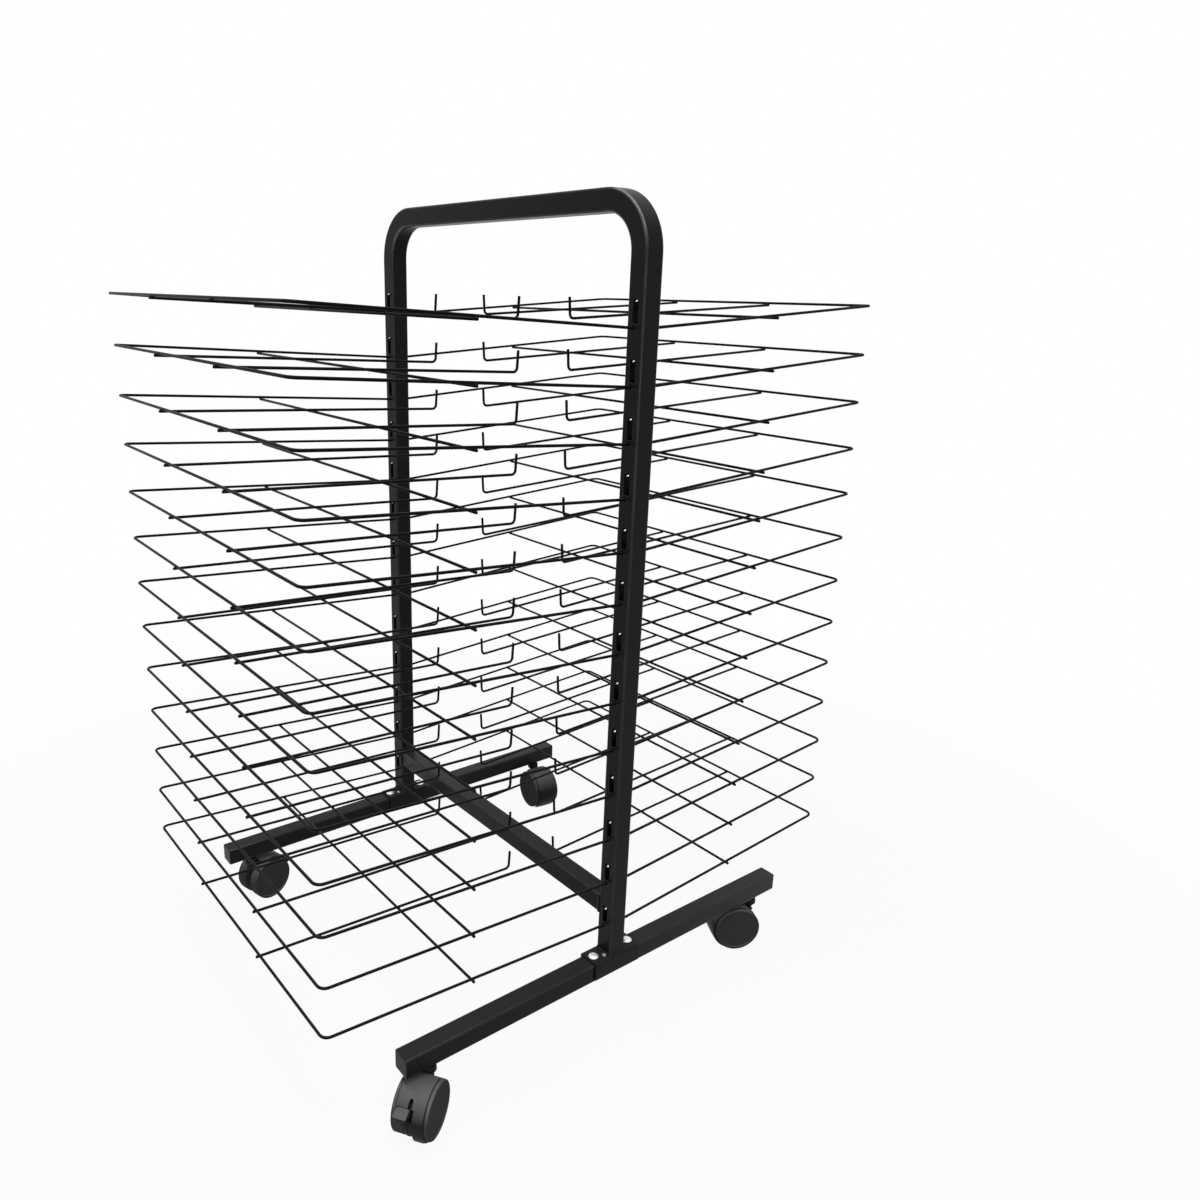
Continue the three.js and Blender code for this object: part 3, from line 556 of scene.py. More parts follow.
def plastic_finish(name, base, gloss, grain, shine, painted_top_light):
    """Moulded plastic: spark-eroded grain, faint flow clouds, scuffs where it wears, and a painted top light that makes
    faces that look up lighter by a share."""
    f = Finish(name, **{"Specular IOR Level": shine})
    flow = f.noise(35.0, 2.0)
    scuffs = f.wear * f.ramp(f.noise(300.0, 5.0, 0.65), 0.4, 0.7)
    scuff_and_top_light_tone = tuple(4.0 * c + 0.085 for c in base)
    shade = f.blend(0.35 * flow, base, tuple(1.35 * c for c in base))
    # painted top light: faces that look up are mixed towards the lighter tone by the given share, as if lit from above;
    # scuffs take the same tone
    f.feed("Base Color", f.blend(0.14 * scuffs + painted_top_light * f.ramp(f.up, 0.22, 0.85), shade, scuff_and_top_light_tone))
    f.feed("Roughness", gloss + 0.1 * flow + 0.12 * scuffs)
    f.bumps(f.noise(grain, 3.0, 0.6), 0.35, 0.00008)
    return f


def metal_finish(name, base, gloss, brushed):
    """Plated or plain steel: crystal patches of slightly different gloss under fine rub marks."""
    f = Finish(name, Metallic=1.0)
    sockets = {"Vector": f.place, "Scale": 900.0}
    patch = f.value("ShaderNodeTexVoronoi", "Distance", None, sockets)
    marks = f.noise(brushed, 4.0, 0.65)
    f.feed("Base Color", f.blend(0.6 * marks, base, tuple(0.78 * c for c in base)))
    f.feed("Roughness", gloss + 0.12 * patch + 0.14 * marks)
    f.bumps(marks, 0.15, 0.00005)
    return f


class RACK_OT_finishes(bpy.types.Operator):
    """Make the finishes of the rack"""

    bl_idname = "rack.finishes"
    bl_label = "Finishes"

    def execute(self, context):
        c = context.scene.rack_finish
        coat_finish("tube_coat", tuple(c.tube), tuple(c.edge_wear_and_highlight_tone), tuple(c.dust), 0.3, 1500.0, 0.07)
        coat_finish("wire_coat", tuple(c.wire), tuple(c.edge_wear_and_highlight_tone), tuple(c.dust), 0.3, 2600.0, 0.03)
        # The hood finish carries a strong painted top light; the second hood finish is its shaded copy with little of
        # it, for the neck, boss, web and pedal tongue in the foot's shadow; the wheels take half
        plastic_finish("hood_moulding", tuple(c.hood), 0.4, 2600.0, 0.05, 0.9)
        plastic_finish("shaded_hood_moulding", tuple(c.hood), 0.4, 2600.0, 0.05, 0.1)
        plastic_finish("wheel_moulding", tuple(c.wheel), 0.6, 2200.0, 0.01, 0.5)
        metal_finish("bright_zinc", tuple(c.zinc), 0.42, 700.0)
        metal_finish("plain_steel", tuple(c.steel), 0.42, 500.0)
        metal_finish("shaded_dark_steel", tuple(c.shaded_dark_steel), 0.35, 500.0)
        metal_finish("cut_steel", tuple(c.cut_wire), 0.24, 900.0)
        return {"FINISHED"}


def pivot_height(s, level):
    """Height of a level's pivot line, levels counted from the top."""
    return s.low + (s.levels - level) * s.pitch - s.wire


def slot_top(t, s):
    """Top of a slot above its pivot line: the height of the arm's upper side at the tube's far face."""
    pivot_x = (t.side - t.wall) / 2
    crank_x = pivot_x - s.crank * math.cos(s.tilt) - s.wire * math.sin(s.tilt)
    crank_z = s.wire * math.cos(s.tilt) - s.crank * math.sin(s.tilt)
    return crank_z + (crank_x + t.side / 2) * math.tan(s.arm) + 1.155 * s.wire / math.cos(s.arm)


def cell_lines(low, high, flat, mid, half, radius, sample):
    """An opening's outline and the rectangle around it, point for point. A point q of the unit square gives the
    rectangle's point, and the outline's is the nearest point of a box shrunk by the radius plus the radius
    towards q, which rounds the corners."""
    level = np.ones(CELL_SIDE)
    run, back = sample[:-1], sample[:0:-1]
    q = np.concatenate(
        [
            np.stack([run, -level], 1),
            np.stack([level, run], 1),
            np.stack([back, level], 1),
            np.stack([-level, back], 1),
        ]
    )
    q = np.vstack([q, q[:1]])
    border = np.stack([flat * q[:, 0], (low + high) / 2 + (high - low) / 2 * q[:, 1]], 1)
    box = q * half
    core = np.clip(box, -(np.asarray(half) - radius), np.asarray(half) - radius)
    return np.asarray(mid) + core + radius * unit(box - core), border


def hoop_faces(t, s):
    """Hoop: the square section carried up the front upright, round a bend, along the top and down again, as an
    outer and an inner skin. In the uprights each side face is cut into cells, and a cell is a sheet drawn
    between the opening's outline and the cell's rectangle, with a rim through the wall."""
    span, top, base = SPAN, HOOP_HIGH.z - t.side / 2, HOOP_LOW.z
    sample = np.sin(np.linspace(-math.pi / 2, math.pi / 2, CELL_SIDE + 1))
    flat = t.side / 2 - t.corner - HOLD
    high = slot_top(t, s)
    cells = []
    for level in range(s.levels, 0, -1):
        p = pivot_height(s, level)
        mid = s.wire + s.hole_rise
        web = (mid + s.hole_z + s.slot_low) / 2
        hole = (p + mid - s.hole_z - 2 * MM, p + web, (0.0, p + mid), (s.hole_y, s.hole_z), s.hole_y * 0.98, s.shift)
        slot_mid, slot_half = p + (high + s.slot_low) / 2, (high - s.slot_low) / 2
        slot = (p + web, p + high + 2.5 * MM, (0.0, slot_mid), (s.slot_half, slot_half), s.slot_round, 0.0)
        cells += [hole, slot]
    heights = [low + (up - low) * (sample + 1) / 2 for low, up, *_ in cells]
    rise_z = np.unique(np.round(np.concatenate([[base], *heights, [top - t.bend]]), 9))
    middle = (rise_z[1:] + rise_z[:-1]) / 2
    cut = np.any([(middle > low) & (middle < up) for low, up, *_ in cells], axis=0)
    corners = [(0, -span, base), (0, -span, top), (0, span, top), (0, span, base)]
    bends, ways = bent_line(corners, (t.bend, t.bend), 16)
    zero = np.zeros_like(rise_z)
    front = np.stack([zero, zero - span, rise_z], 1)
    back = np.stack([zero, zero + span, rise_z[::-1]], 1)
    centres = np.concatenate([front, bends[2:-2], back])
    up = np.array([[0.0, 0.0, 1.0]])
    ways = np.concatenate([np.repeat(up, len(front), 0), ways[2:-2], np.repeat(-up, len(back), 0)])
    plain = np.concatenate([~cut, np.ones(len(bends) - 3, bool), ~cut[::-1]])
    across = np.repeat([[1.0, 0.0, 0.0]], len(centres), 0)
    rise = np.cross(ways, across)
    # painted highlight: the corners' wear and highlight values rise up to twelvefold round the bends, so the bends'
    # edges are painted light as if lamps glinted along them
    shine = 1.0 + 11.0 * np.abs(ways[:, 1] * ways[:, 2])
    parts, rims = [], []
    for side, corner in ((t.side, t.corner), (t.side - 2 * t.wall, t.corner - t.wall)):
        loop, wear = square_loop(side, corner)
        rings = carry(loop, centres, across, rise)
        faces = grid_faces(rings, wear[None] * shine[:, None])
        block = (len(loop) - 1) // 4
        faces = np.delete(faces, [2 * block - 1, 4 * block - 1], axis=1)
        parts.append(flat_list(faces))
        rims.append(rings[[0, -1]])
        for x in (-side / 2, side / 2):
            line = np.stack([np.full_like(sample, x), flat * sample], 1)
            sheet = carry(line, centres, across, rise)
            parts.append(flat_list(grid_faces(sheet)[plain]))
            rims.append(sheet[[0, -1]])
    block = rims[0].shape[1] // 4
    for outer, inner in zip(rims[:3], rims[3:]):
        for end in (0, 1):
            ring = grid_faces(np.stack([outer[end], inner[end]]))
            if ring.shape[1] > CELL_SIDE:
                ring = np.delete(ring, [2 * block - 1, 4 * block - 1], axis=1)
            parts.append(flat_list(ring))
    for low, up_z, mid, half, radius, shift in cells:
        for y in (-span, span):
            for x in (-1.0, 1.0):
                outline, border = cell_lines(low, up_z, flat, (-x * shift, mid[1]), half, radius, sample)
                lines = np.stack([outline, 0.5 * outline + 0.5 * border, border])
                skins = [
                    np.concatenate([np.full((*lines.shape[:2], 1), x * (t.side / 2 - d)), lines], axis=2)
                    for d in (0.0, t.wall)
                ]
                skins = [skin + np.array([0.0, y, 0.0]) for skin in skins]
                # slot outlines and rims take a little wear and painted highlight
                slot_wear_and_highlight = np.array([[0.3], [0.0], [0.0]])
                parts += [flat_list(grid_faces(skin, slot_wear_and_highlight)) for skin in skins]
                parts.append(flat_list(grid_faces(np.stack([skins[0][0], skins[1][0]]), 0.5)))
    return [(np.concatenate(parts), 0)]


class RACK_OT_hoop(bpy.types.Operator):
    """Bend the tube of the hoop, slots and pivot holes included"""

    bl_idname = "rack.hoop"
    bl_label = "Hoop"

    def execute(self, context):
        t, s = context.scene.rack_tubes, context.scene.rack_shelves
        put("frame_hoop_tube", hoop_faces(t, s), ["tube_coat"], "frame", "frame_hoop")
        return {"FINISHED"}


def straight_tube(t, start, end, across, rise, ease):
    """Closed straight tube: the square section from end to end, its end edges eased by a quarter round, with the
    section drawn in by ease * (1 - cos) while it runs out by ease * sin, then closed to the middle."""
    start, end = np.asarray(start, float), np.asarray(end, float)
    way = unit(end - start)
    a = np.linspace(0.0, math.pi / 2, 4)
    rings, wear_and_highlight_rows = [], []
    for tip, inward, order in ((start, way, slice(None, None, -1)), (end, -way, slice(None))):
        loops = [square_loop(t.side - 2 * ease * (1 - math.cos(k)), t.corner) for k in a]
        spots = [tip + inward * ease * (1 - math.sin(k)) for k in a]
        sets = [spot + loop[:, :1] * across + loop[:, 1:] * rise for spot, (loop, _) in zip(spots, loops)]
        sets += [tip + 0.96 * (sets[-1] - tip), 0 * sets[-1] + tip]
        # the eased end edges take 0.6 of wear and painted highlight
        marks = [np.maximum(wear, 0.6 * (0 < k < len(a))) for k, (_, wear) in enumerate(loops)]
        marks += [0 * marks[0], 0 * marks[0]]
        rings += sets[order]
        wear_and_highlight_rows += marks[order]
    return [(flat_list(grid_faces(np.stack(rings), np.stack(wear_and_highlight_rows))), 0)]


class RACK_OT_rail(bpy.types.Operator):
    """Lay the cross rail between the uprights and the weld beads at its ends"""

    bl_idname = "rack.rail"
    bl_label = "Cross rail"

    def execute(self, context):
        t = context.scene.rack_tubes
        height = (RAIL_LOW.z + RAIL_HIGH.z) / 2
        across, rise = np.array([1.0, 0.0, 0.0]), np.array([0.0, 0.0, 1.0])
        faces = straight_tube(t, (0, RAIL_LOW.y, height), (0, RAIL_HIGH.y, height), across, rise, 0.2 * MM)
        put("cross_rail_tube", faces, ["tube_coat"], "frame", "cross_rail")
        loop, _ = square_loop(t.side - 0.4 * MM, t.corner)
        for place, way in ENDS:
            centre = np.array([0.0, way * RAIL_HIGH.y, height])
            bead = bead_ring(loop, across, rise, centre, t.bead, 30)
            put(f"{place}_rail_bead", one(bead, edge=0.2), ["tube_coat"], "frame", None)
        return {"FINISHED"}


class RACK_OT_feet(bpy.types.Operator):
    """Lay the two feet, closed at their ends"""

    bl_idname = "rack.feet"
    bl_label = "Feet"

    def execute(self, context):
        t = context.scene.rack_tubes
        height = (FOOT_LOW.z + FOOT_HIGH.z) / 2
        across, rise = np.array([0.0, 1.0, 0.0]), np.array([0.0, 0.0, 1.0])
        for place, way in ENDS:
            y = way * SPAN
            faces = straight_tube(t, (FOOT_LOW.x, y, height), (FOOT_HIGH.x, y, height), across, rise, t.end_round)
            put(f"{place}_foot_tube", faces, ["tube_coat"], "frame", f"{place}_foot")
        return {"FINISHED"}


def saddle_faces(t, y):
    """Saddle: an outer and an inner line of the folded plate, the outer one rounded at the folds, both carried
    along X and joined at the plate's edges."""
    out, top, low = (SADDLE_HIGH.y - SADDLE_LOW.y) / 2, SADDLE_HIGH.z, SADDLE_LOW.z
    ins = out - t.plate
    bend = max(t.fold - t.plate, 0.15 * MM)
    outer = bent_line([(-out, low, 0), (-out, top, 0), (out, top, 0), (out, low, 0)], (t.fold, t.fold), 5)[0]
    under = top - t.plate
    inner = bent_line([(-ins, low, 0), (-ins, under, 0), (ins, under, 0), (ins, low, 0)], (bend, bend), 5)[0]
    x = np.linspace(SADDLE_LOW.x, SADDLE_HIGH.x, 9)[:, None]
    sheets = [np.stack([x + 0 * line[:, 0], y + line[:, 0] + 0 * x, line[:, 1] + 0 * x], 2) for line in (outer, inner)]
    sheets += [np.stack([sheets[0][k], sheets[1][k]]) for k in (0, -1)]
    sheets += [np.stack([sheets[0][:, k], sheets[1][:, k]]) for k in (0, -1)]
    return one(*sheets, edge=0.0)


class RACK_OT_saddles(bpy.types.Operator):
    """Fold the two saddles over the feet and weld the uprights to them"""

    bl_idname = "rack.saddles"
    bl_label = "Saddles"

    def execute(self, context):
        t = context.scene.rack_tubes
        across, rise = np.array([1.0, 0.0, 0.0]), np.array([0.0, 1.0, 0.0])
        loop, _ = square_loop(t.side - 0.4 * MM, t.corner)
        for place, way in ENDS:
            y = way * SPAN
            faces = saddle_faces(t, y)
            put(f"{place}_saddle_plate", faces, ["tube_coat"], "frame", f"{place}_saddle", 0.45 * MM)
            bead = bead_ring(loop, across, rise, np.array([0.0, y, HOOP_LOW.z]), t.bead, 30)
            put(f"{place}_upright_bead", one(bead, edge=0.2), ["tube_coat"], "frame", None)
        return {"FINISHED"}


class RACK_OT_fasteners(bpy.types.Operator):
    """Set the bright saddle bolts and the small rivets"""

    bl_idname = "rack.fasteners"
    bl_label = "Bolts and rivets"

    def execute(self, context):
        t = context.scene.rack_tubes
        r, h, top = t.bolt_radius, t.bolt_height, SADDLE_HIGH.z
        head = profile_line(
            [(0, 0), (0.98 * r, 0), (r, 0.3 * h), (0.86 * r, 0.36 * h), (0.62 * r, h), (0, h)],
            (0.1 * MM, 0.3 * MM, 0.3 * MM, 1.6 * MM),
        )
        r, h = t.rivet_radius, t.rivet_height
        dome = profile_line([(0, 0), (r, 0), (0.94 * r, 0.55 * h), (0.45 * r, h), (0, h)], (0.1 * MM, 1.2 * MM, 0.8 * MM))
        for place, way in ENDS:
            y = way * SPAN
            for side, lean in SIDES:
                grid = turned(head, 28) + np.array([lean * t.bolt_x, y, top])
                name = f"{place}_saddle_bolt_{side}"
                put(f"{name}_head", one(grid), ["bright_zinc"], "frame", name)
            low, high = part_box(f"{place}_saddle_rivet")
            grid = turned(dome, 20) + np.array([(low.x + high.x) / 2, (low.y + high.y) / 2, top])
            put(f"{place}_saddle_rivet_dome", one(grid), ["plain_steel"], "frame", f"{place}_saddle_rivet")
        return {"FINISHED"}


def shelf_parts(t, s):
    """One shelf about its pivot, reaching along +X: a U wire with cranked ends, a cross wire under it, two stop
    wires that turn up near the upright, and a nugget of weld at each crossing, all tilted about Y."""
    pivot_x, span, r = (t.side - t.wall) / 2, SPAN, s.wire
    reach = (s.outer - pivot_x) / math.cos(s.tilt)
    crank_x = pivot_x - s.crank * math.cos(s.tilt) - r * math.sin(s.tilt)
    arm, turn = (crank_x + t.side / 2 + s.tip) / math.cos(s.arm), s.arm + s.tilt
    tip = (-s.crank - arm * math.cos(turn), r + arm * math.sin(turn))
    corners = [(tip[0], -span, tip[1]), (-s.crank, -span, r), (reach, -span, r)]
    corners += [(x, -y, z) for x, y, z in corners[::-1]]
    frame_wire = round_wire(corners, (s.crank_bend, s.corner, s.corner, s.crank_bend), r)
    layer = 2 * r - s.sink
    cross_x, end_y = (s.cross - pivot_x) / math.cos(s.tilt), span + s.nub
    cross = round_wire([(cross_x, -end_y, r - layer), (cross_x, end_y, r - layer)], (), r)
    stop_x, end_x = (s.stop_x - pivot_x) / math.cos(s.tilt), reach + s.nub
    fall = layer / (reach - cross_x)
    tall, near, far = r + s.stop_rise, r - fall * (stop_x - cross_x), r - fall * (end_x - cross_x)
    grids, welds = [cross], []
    for y in (-s.stop_y, s.stop_y):
        grids.append(round_wire([(stop_x, y, tall), (stop_x, y, near), (end_x, y, far)], (s.stop_bend,), r))
        welds += [nugget((cross_x, y, r - layer / 2), (2.1 * MM, 2.1 * MM, 1.7 * MM))]
        welds += [nugget((reach, y, r - layer / 2), (2.1 * MM, 2.1 * MM, 1.7 * MM))]
    welds += [nugget((cross_x, y, r - layer / 2), (2.1 * MM, 2.1 * MM, 1.7 * MM)) for y in (-span, span)]
    bare = np.concatenate([flat_list(grid_faces(frame_wire[:3])), flat_list(grid_faces(frame_wire[-3:]))])
    coated = [flat_list(grid_faces(frame_wire[2:-2]))] + [flat_list(grid_faces(g)) for g in grids]
    coated += [flat_list(grid_faces(g, 0.7)) for g in welds]
    lean = np.array(Matrix.Rotation(-s.tilt, 3, "Y"))
    parts = [(np.concatenate(coated), 0), (bare, 1)]
    return [(np.concatenate([f[..., :3] @ lean.T, f[..., 3:]], axis=-1), k) for f, k in parts]


class RACK_OT_shelves(bpy.types.Operator):
    """Bend and weld the wire shelves and hang them in the uprights"""

    bl_idname = "rack.shelves"
    bl_label = "Shelves"

    def execute(self, context):
        t, s = context.scene.rack_tubes, context.scene.rack_shelves
        parts = shelf_parts(t, s)
        pivot_x = (t.side - t.wall) / 2
        for side, way in SIDES:
            turn = np.array([way, way, 1.0, 1.0])
            for level in range(1, s.levels + 1):
                place = np.array([way * pivot_x, -way * s.shift, pivot_height(s, level), 0.0])
                hung = [(f * turn + place, k) for f, k in parts]
                name = f"{side}_shelf_{level:02d}"
                put(f"{name}_wires", hung, ["wire_coat", "cut_steel"], name, name, sharp=50.0)
        return {"FINISHED"}


def at_caster(faces, c, caster):
    """Faces about an axle set at a caster: moved by the trail, turned about the stem and set under the foot."""
    _, x, y, degrees, _ = caster
    a = math.radians(degrees)
    turn = np.array([[math.cos(a), -math.sin(a), 0.0], [math.sin(a), math.cos(a), 0.0], [0.0, 0.0, 1.0]])
    stem = np.array([x * c.stem_x, y * SPAN, 0.0])
    spots = (faces[..., :3] + np.array([c.trail, 0.0, c.radius])) @ turn.T + stem
    return np.concatenate([spots, faces[..., 3:]], axis=-1)


def strip(angles, places):
    """Cells of a sheet over angles about the axle and places along it."""
    grid = np.stack(np.meshgrid(angles, places, indexing="ij"), axis=2)
    return np.stack([grid[:-1, :-1], grid[:-1, 1:], grid[1:, 1:], grid[1:, :-1]], axis=2).reshape(-1, 4, 2)


def shell_cells(c, braked):
    """Cells of the hood's sheet. A brake leaves a slot with a round end: rows of points run from its outline, up one
    side, over the arc and down the other, out to the rectangle around it. Below the slot only one side goes on."""
    half, bend = c.shell_half, 4.0 * MM
    edge = half - bend * np.cos(np.linspace(0.0, math.pi / 2, 7))[::-1]
    if not braked:
        places = np.concatenate([-edge[::-1], np.linspace(-edge[0], edge[0], 9)[1:-1], edge])
        return strip(np.linspace(c.shell_low, c.shell_high, 41), places)
    side, top = 2.4 * c.pedal_slot, c.slot_high + 0.07
    left = np.concatenate([-edge[::-1], np.linspace(-edge[0], -side, 4)[1:]])
    rise = np.linspace(c.cut_high, top, 6)
    middle = np.linspace(-side, side, 9)
    right = -left[::-1]
    cells = [strip(np.linspace(top, c.shell_high, 17), np.concatenate([left, middle[1:-1], right]))]
    cells += [strip(rise, left), strip(rise, right)]
    lower = np.concatenate([[c.cut_near], right])
    cells.append(strip(np.linspace(c.shell_low, c.cut_high, 22), lower))
    a = np.linspace(math.pi, 0.0, 9)
    tall = c.pedal_slot / c.shell_out
    leg = np.linspace(c.cut_high, c.slot_high - tall, 6)
    flank, post = np.full_like(leg, c.pedal_slot), np.full_like(rise, side)
    arc = np.stack([c.slot_high - tall + tall * np.sin(a), c.pedal_slot * np.cos(a)], 1)
    outline = np.concatenate([np.stack([leg, -flank], 1), arc[1:-1], np.stack([leg, flank], 1)[::-1]])
    border = np.concatenate(
        [np.stack([rise, -post], 1), np.stack([0 * middle + top, middle], 1)[1:-1], np.stack([rise, post], 1)[::-1]]
    )
    part = (c.cut_near - c.pedal_slot) / (side - c.pedal_slot)
    rows = np.stack([outline, outline + part * (border - outline), border])
    around = np.stack([rows[:-1, :-1], rows[:-1, 1:], rows[1:, 1:], rows[1:, :-1]], axis=2)
    return np.concatenate([*cells, around.reshape(-1, 4, 2)])


def shell_faces(c, braked):
    """Shell of the hood: its sheet of cells at an outer and an inner radius, and a rim across every side that only one
    cell has. The outer radius falls by crown * (y / half)^2, and by lip * (share of the last 4 mm)^2 at its sides."""
    cells = shell_cells(c, braked)
    _, number = np.unique(np.round(cells.reshape(-1, 2) / WELD_STEP).astype(np.int64), axis=0, return_inverse=True)
    number = number.reshape(-1, 4)
    pairs = np.sort(np.stack([number, np.roll(number, -1, axis=1)], axis=2).reshape(-1, 2), axis=1)
    _, which, count = np.unique(pairs, axis=0, return_inverse=True, return_counts=True)
    lone = count[which.reshape(-1)] == 1
    ends = np.stack([cells, np.roll(cells, -1, axis=1)], axis=2).reshape(-1, 2, 2)[lone]

    def spots(sheet, radius):
        a, y = sheet[..., 0], sheet[..., 1]
        return np.stack([radius * np.cos(a), y, radius * np.sin(a), 0 * y], axis=-1)

    def outer(sheet):
        y = np.abs(sheet[..., 1])
        drop = np.clip(1.0 - (c.shell_half - y) / (4.0 * MM), 0.0, 1.0) ** 2
        return spots(sheet, c.shell_out - c.crown * (y / c.shell_half) ** 2 - c.lip * drop)

    rim = np.concatenate([outer(ends), spots(ends[:, ::-1], c.shell_in)], axis=1)
    return [outer(cells), spots(cells, c.shell_in), rim]


def web_faces(c, braked):
    """Web between the wheels: a plate about the axle whose radius is the shell's between its two ends and the hub's
    elsewhere. A brake lowers its two cheeks, most of all behind the pedal, and sinks a slot for the tongue between
    them."""
    a = np.linspace(c.web_low, c.web_low + 2 * math.pi, 120)
    full = (c.shell_in + c.shell_out) / 2
    cheek = np.where(a <= c.web_high, full, c.hub)
    cheek[-1] = cheek[0]
    under = braked & (a < c.slot_high) | (braked & (a > a[-2]))
    below = (a < c.pedal_low - 0.12) | (a > a[-2])
    core = np.where(under, c.slot_deep, cheek)
    cheek = np.where(under, c.shell_in - np.where(below, 0.6, 3.0) * MM, cheek)
    slot, half = c.pedal_slot, c.web_half
    rows = [(0.0, -half), (cheek, -half), (cheek, -slot), (core, -slot), (core, slot), (cheek, slot), (cheek, half), (0.0, half)]
    grid = [np.stack([r * np.cos(a), 0 * a + y, r * np.sin(a)], 1) for r, y in rows]
    return flat_list(grid_faces(np.stack(grid)))


def hood_faces(c, braked):
    """Hood about its axle: the shell, then the web, a neck that rises to the stem and the boss around it."""
    low, top, r = c.boss_low - c.radius, c.boss_top - c.radius, c.boss
    leg = [(0.0, c.hub), (c.neck - c.trail, low + 0.3 * MM), (-c.neck - c.trail, low + 0.3 * MM)]
    leg.append((c.hub * math.cos(c.web_high), c.hub * math.sin(c.web_high)))
    outline = closed_line(leg, (0.4 * MM,) * 4)
    neck = slab([outline, outline], (-c.web_half, c.web_half), 0.6 * MM)
    pairs = [(0, low), (r + 0.3 * MM, low), (r - 0.3 * MM, top), (0, top)]
    boss = turned(profile_line(pairs, (0.8 * MM, 1.0 * MM)), 32) + np.array([-c.trail, 0.0, 0.0])
    inner = np.concatenate([web_faces(c, braked), neck, flat_list(grid_faces(boss))])
    return np.concatenate(shell_faces(c, braked)), inner


class RACK_OT_hoods(bpy.types.Operator):
    """Mould the hoods of the casters"""

    bl_idname = "rack.hoods"
    bl_label = "Caster hoods"

    def execute(self, context):
        c = context.scene.rack_casters
        for caster in CASTERS:
            place = caster[0]
            shell, inner = (at_caster(faces, c, caster) for faces in hood_faces(c, caster[4]))
            # the web, neck and boss take the shaded copy of the hood finish: painted shade under the foot
            finishes = ["hood_moulding", "shaded_hood_moulding"]
            put(f"{place}_hood_shell", [(shell, 0), (inner, 1)], finishes, f"{place}_caster", f"{place}_hood")
        return {"FINISHED"}


def at_angle(radius, a):
    """Point of the plane across the axle at a radius and an angle."""
    return np.array([radius * math.cos(a), radius * math.sin(a)])


def pedal_faces(c):
    """Brake pedal about the axle: a shoe whose top slopes out from the hood in a shallow hollow to a thick lip, its far
    corner rounded off, and a tongue from the shoe to a round pivot with two trunnions."""
    places = np.append(np.linspace(0.0, 4.5 * MM, 6) - c.pedal_far, 0.0)
    outlines = []
    for place in places:
        turn_in = np.clip(1.0 - (place + c.pedal_far) / (4.5 * MM), 0.0, 1.0) ** 2
        high = c.pedal_high - 0.11 * turn_in
        root = at_angle(c.pedal_root + 0.5 * MM * turn_in, high)
        edge = at_angle(c.pedal_out, c.pedal_edge)
        hollow = 0.5 * (root + edge)
        hollow *= 1.0 - 0.8 * MM / np.linalg.norm(hollow)
        corners = [at_angle(c.pedal_out, c.pedal_low), edge, hollow, root]
        corners += [at_angle(c.pedal_in, high), at_angle(c.pedal_in, c.pedal_low)]
        outlines.append(closed_line(corners, (0.9 * MM, 0.9 * MM, 6.0 * MM, 0.4 * MM, 0.4 * MM, 0.4 * MM)))
    shoe = slab(outlines, places, 0.6 * MM)
    tongue = [at_angle(c.pedal_root, c.pedal_edge), at_angle(c.pedal_root - 0.3 * MM, c.pedal_high)]
    tongue += [at_angle(c.pivot_out + c.pivot_hub, 0.8 * c.pedal_high + 0.2 * c.pivot_at)]
    tongue += [at_angle(c.pivot_out + c.pivot_hub, c.pivot_at), at_angle(c.pivot_out - c.pivot_hub, c.pivot_at)]
    arm = closed_line(tongue, (0.3 * MM,) * 5)
    faces = [slab([arm, arm], (-c.tongue, c.tongue), 0.3 * MM)]
    x, z = at_angle(c.pivot_out, c.pivot_at)
    for radius, half in ((c.pivot_hub, c.tongue), (c.trunnion, c.trunnion_half)):
        pin = profile_line([(0, -half), (radius, -half), (radius, half), (0, half)], (0.3 * MM, 0.3 * MM), 2)
        faces.append(flat_list(grid_faces(turned(pin, 18, axis=1) + np.array([x, 0.0, z]))))
    return shoe, np.concatenate(faces)


class RACK_OT_pedals(bpy.types.Operator):
    """Mould the two brake pedals"""

    bl_idname = "rack.pedals"
    bl_label = "Brake pedals"

    def execute(self, context):
        c = context.scene.rack_casters
        for caster in CASTERS:
            if caster[4]:
                name = f"{caster[0]}_brake_pedal"
                shoe, tongue = (at_caster(faces, c, caster) for faces in pedal_faces(c))
                # the tongue takes the shaded copy of the hood finish: painted shade, with less painted top light than
                # the shoe
                finishes = ["hood_moulding", "shaded_hood_moulding"]
                put(f"{name}_shoe", [(shoe, 0), (tongue, 1)], finishes, f"{caster[0]}_brake", name)
        return {"FINISHED"}


def wheel_grid(c):
    """Wheel about the axle, on its +Y side: a turned form with a rounded tread, a raised rim and a recessed disc
    that swells a little towards the middle. Gives the grid and its wear, full on the tread."""
    r, low, high, bore = c.radius, c.inside, c.outside, c.axle + 0.25 * MM
    blind = c.axle_half + 0.3 * MM
    pairs = [(0, blind), (bore, blind), (bore, low), (r - 2.4 * MM, low), (r, low + 2.4 * MM), (r, high)]
    pairs += [(r - c.rim, high), (r - c.rim - 0.5 * MM, high - c.recess), (0.4 * r, high - 0.8 * c.recess), (0, high - 0.8 * c.recess)]
    rounds_at = (0.1 * MM, 0.4 * MM, 0.8 * MM, 1.0 * MM, 1.6 * MM, 0.4 * MM, 0.5 * MM, 8.0 * MM)
    profile = profile_line(pairs, rounds_at, 5)
    wear = np.clip((profile[:, 0] - (r - 0.9 * MM)) / (0.6 * MM), 0, 1)
    return turned(profile[:, [0, 1]], 72, axis=1), wear[:, None]


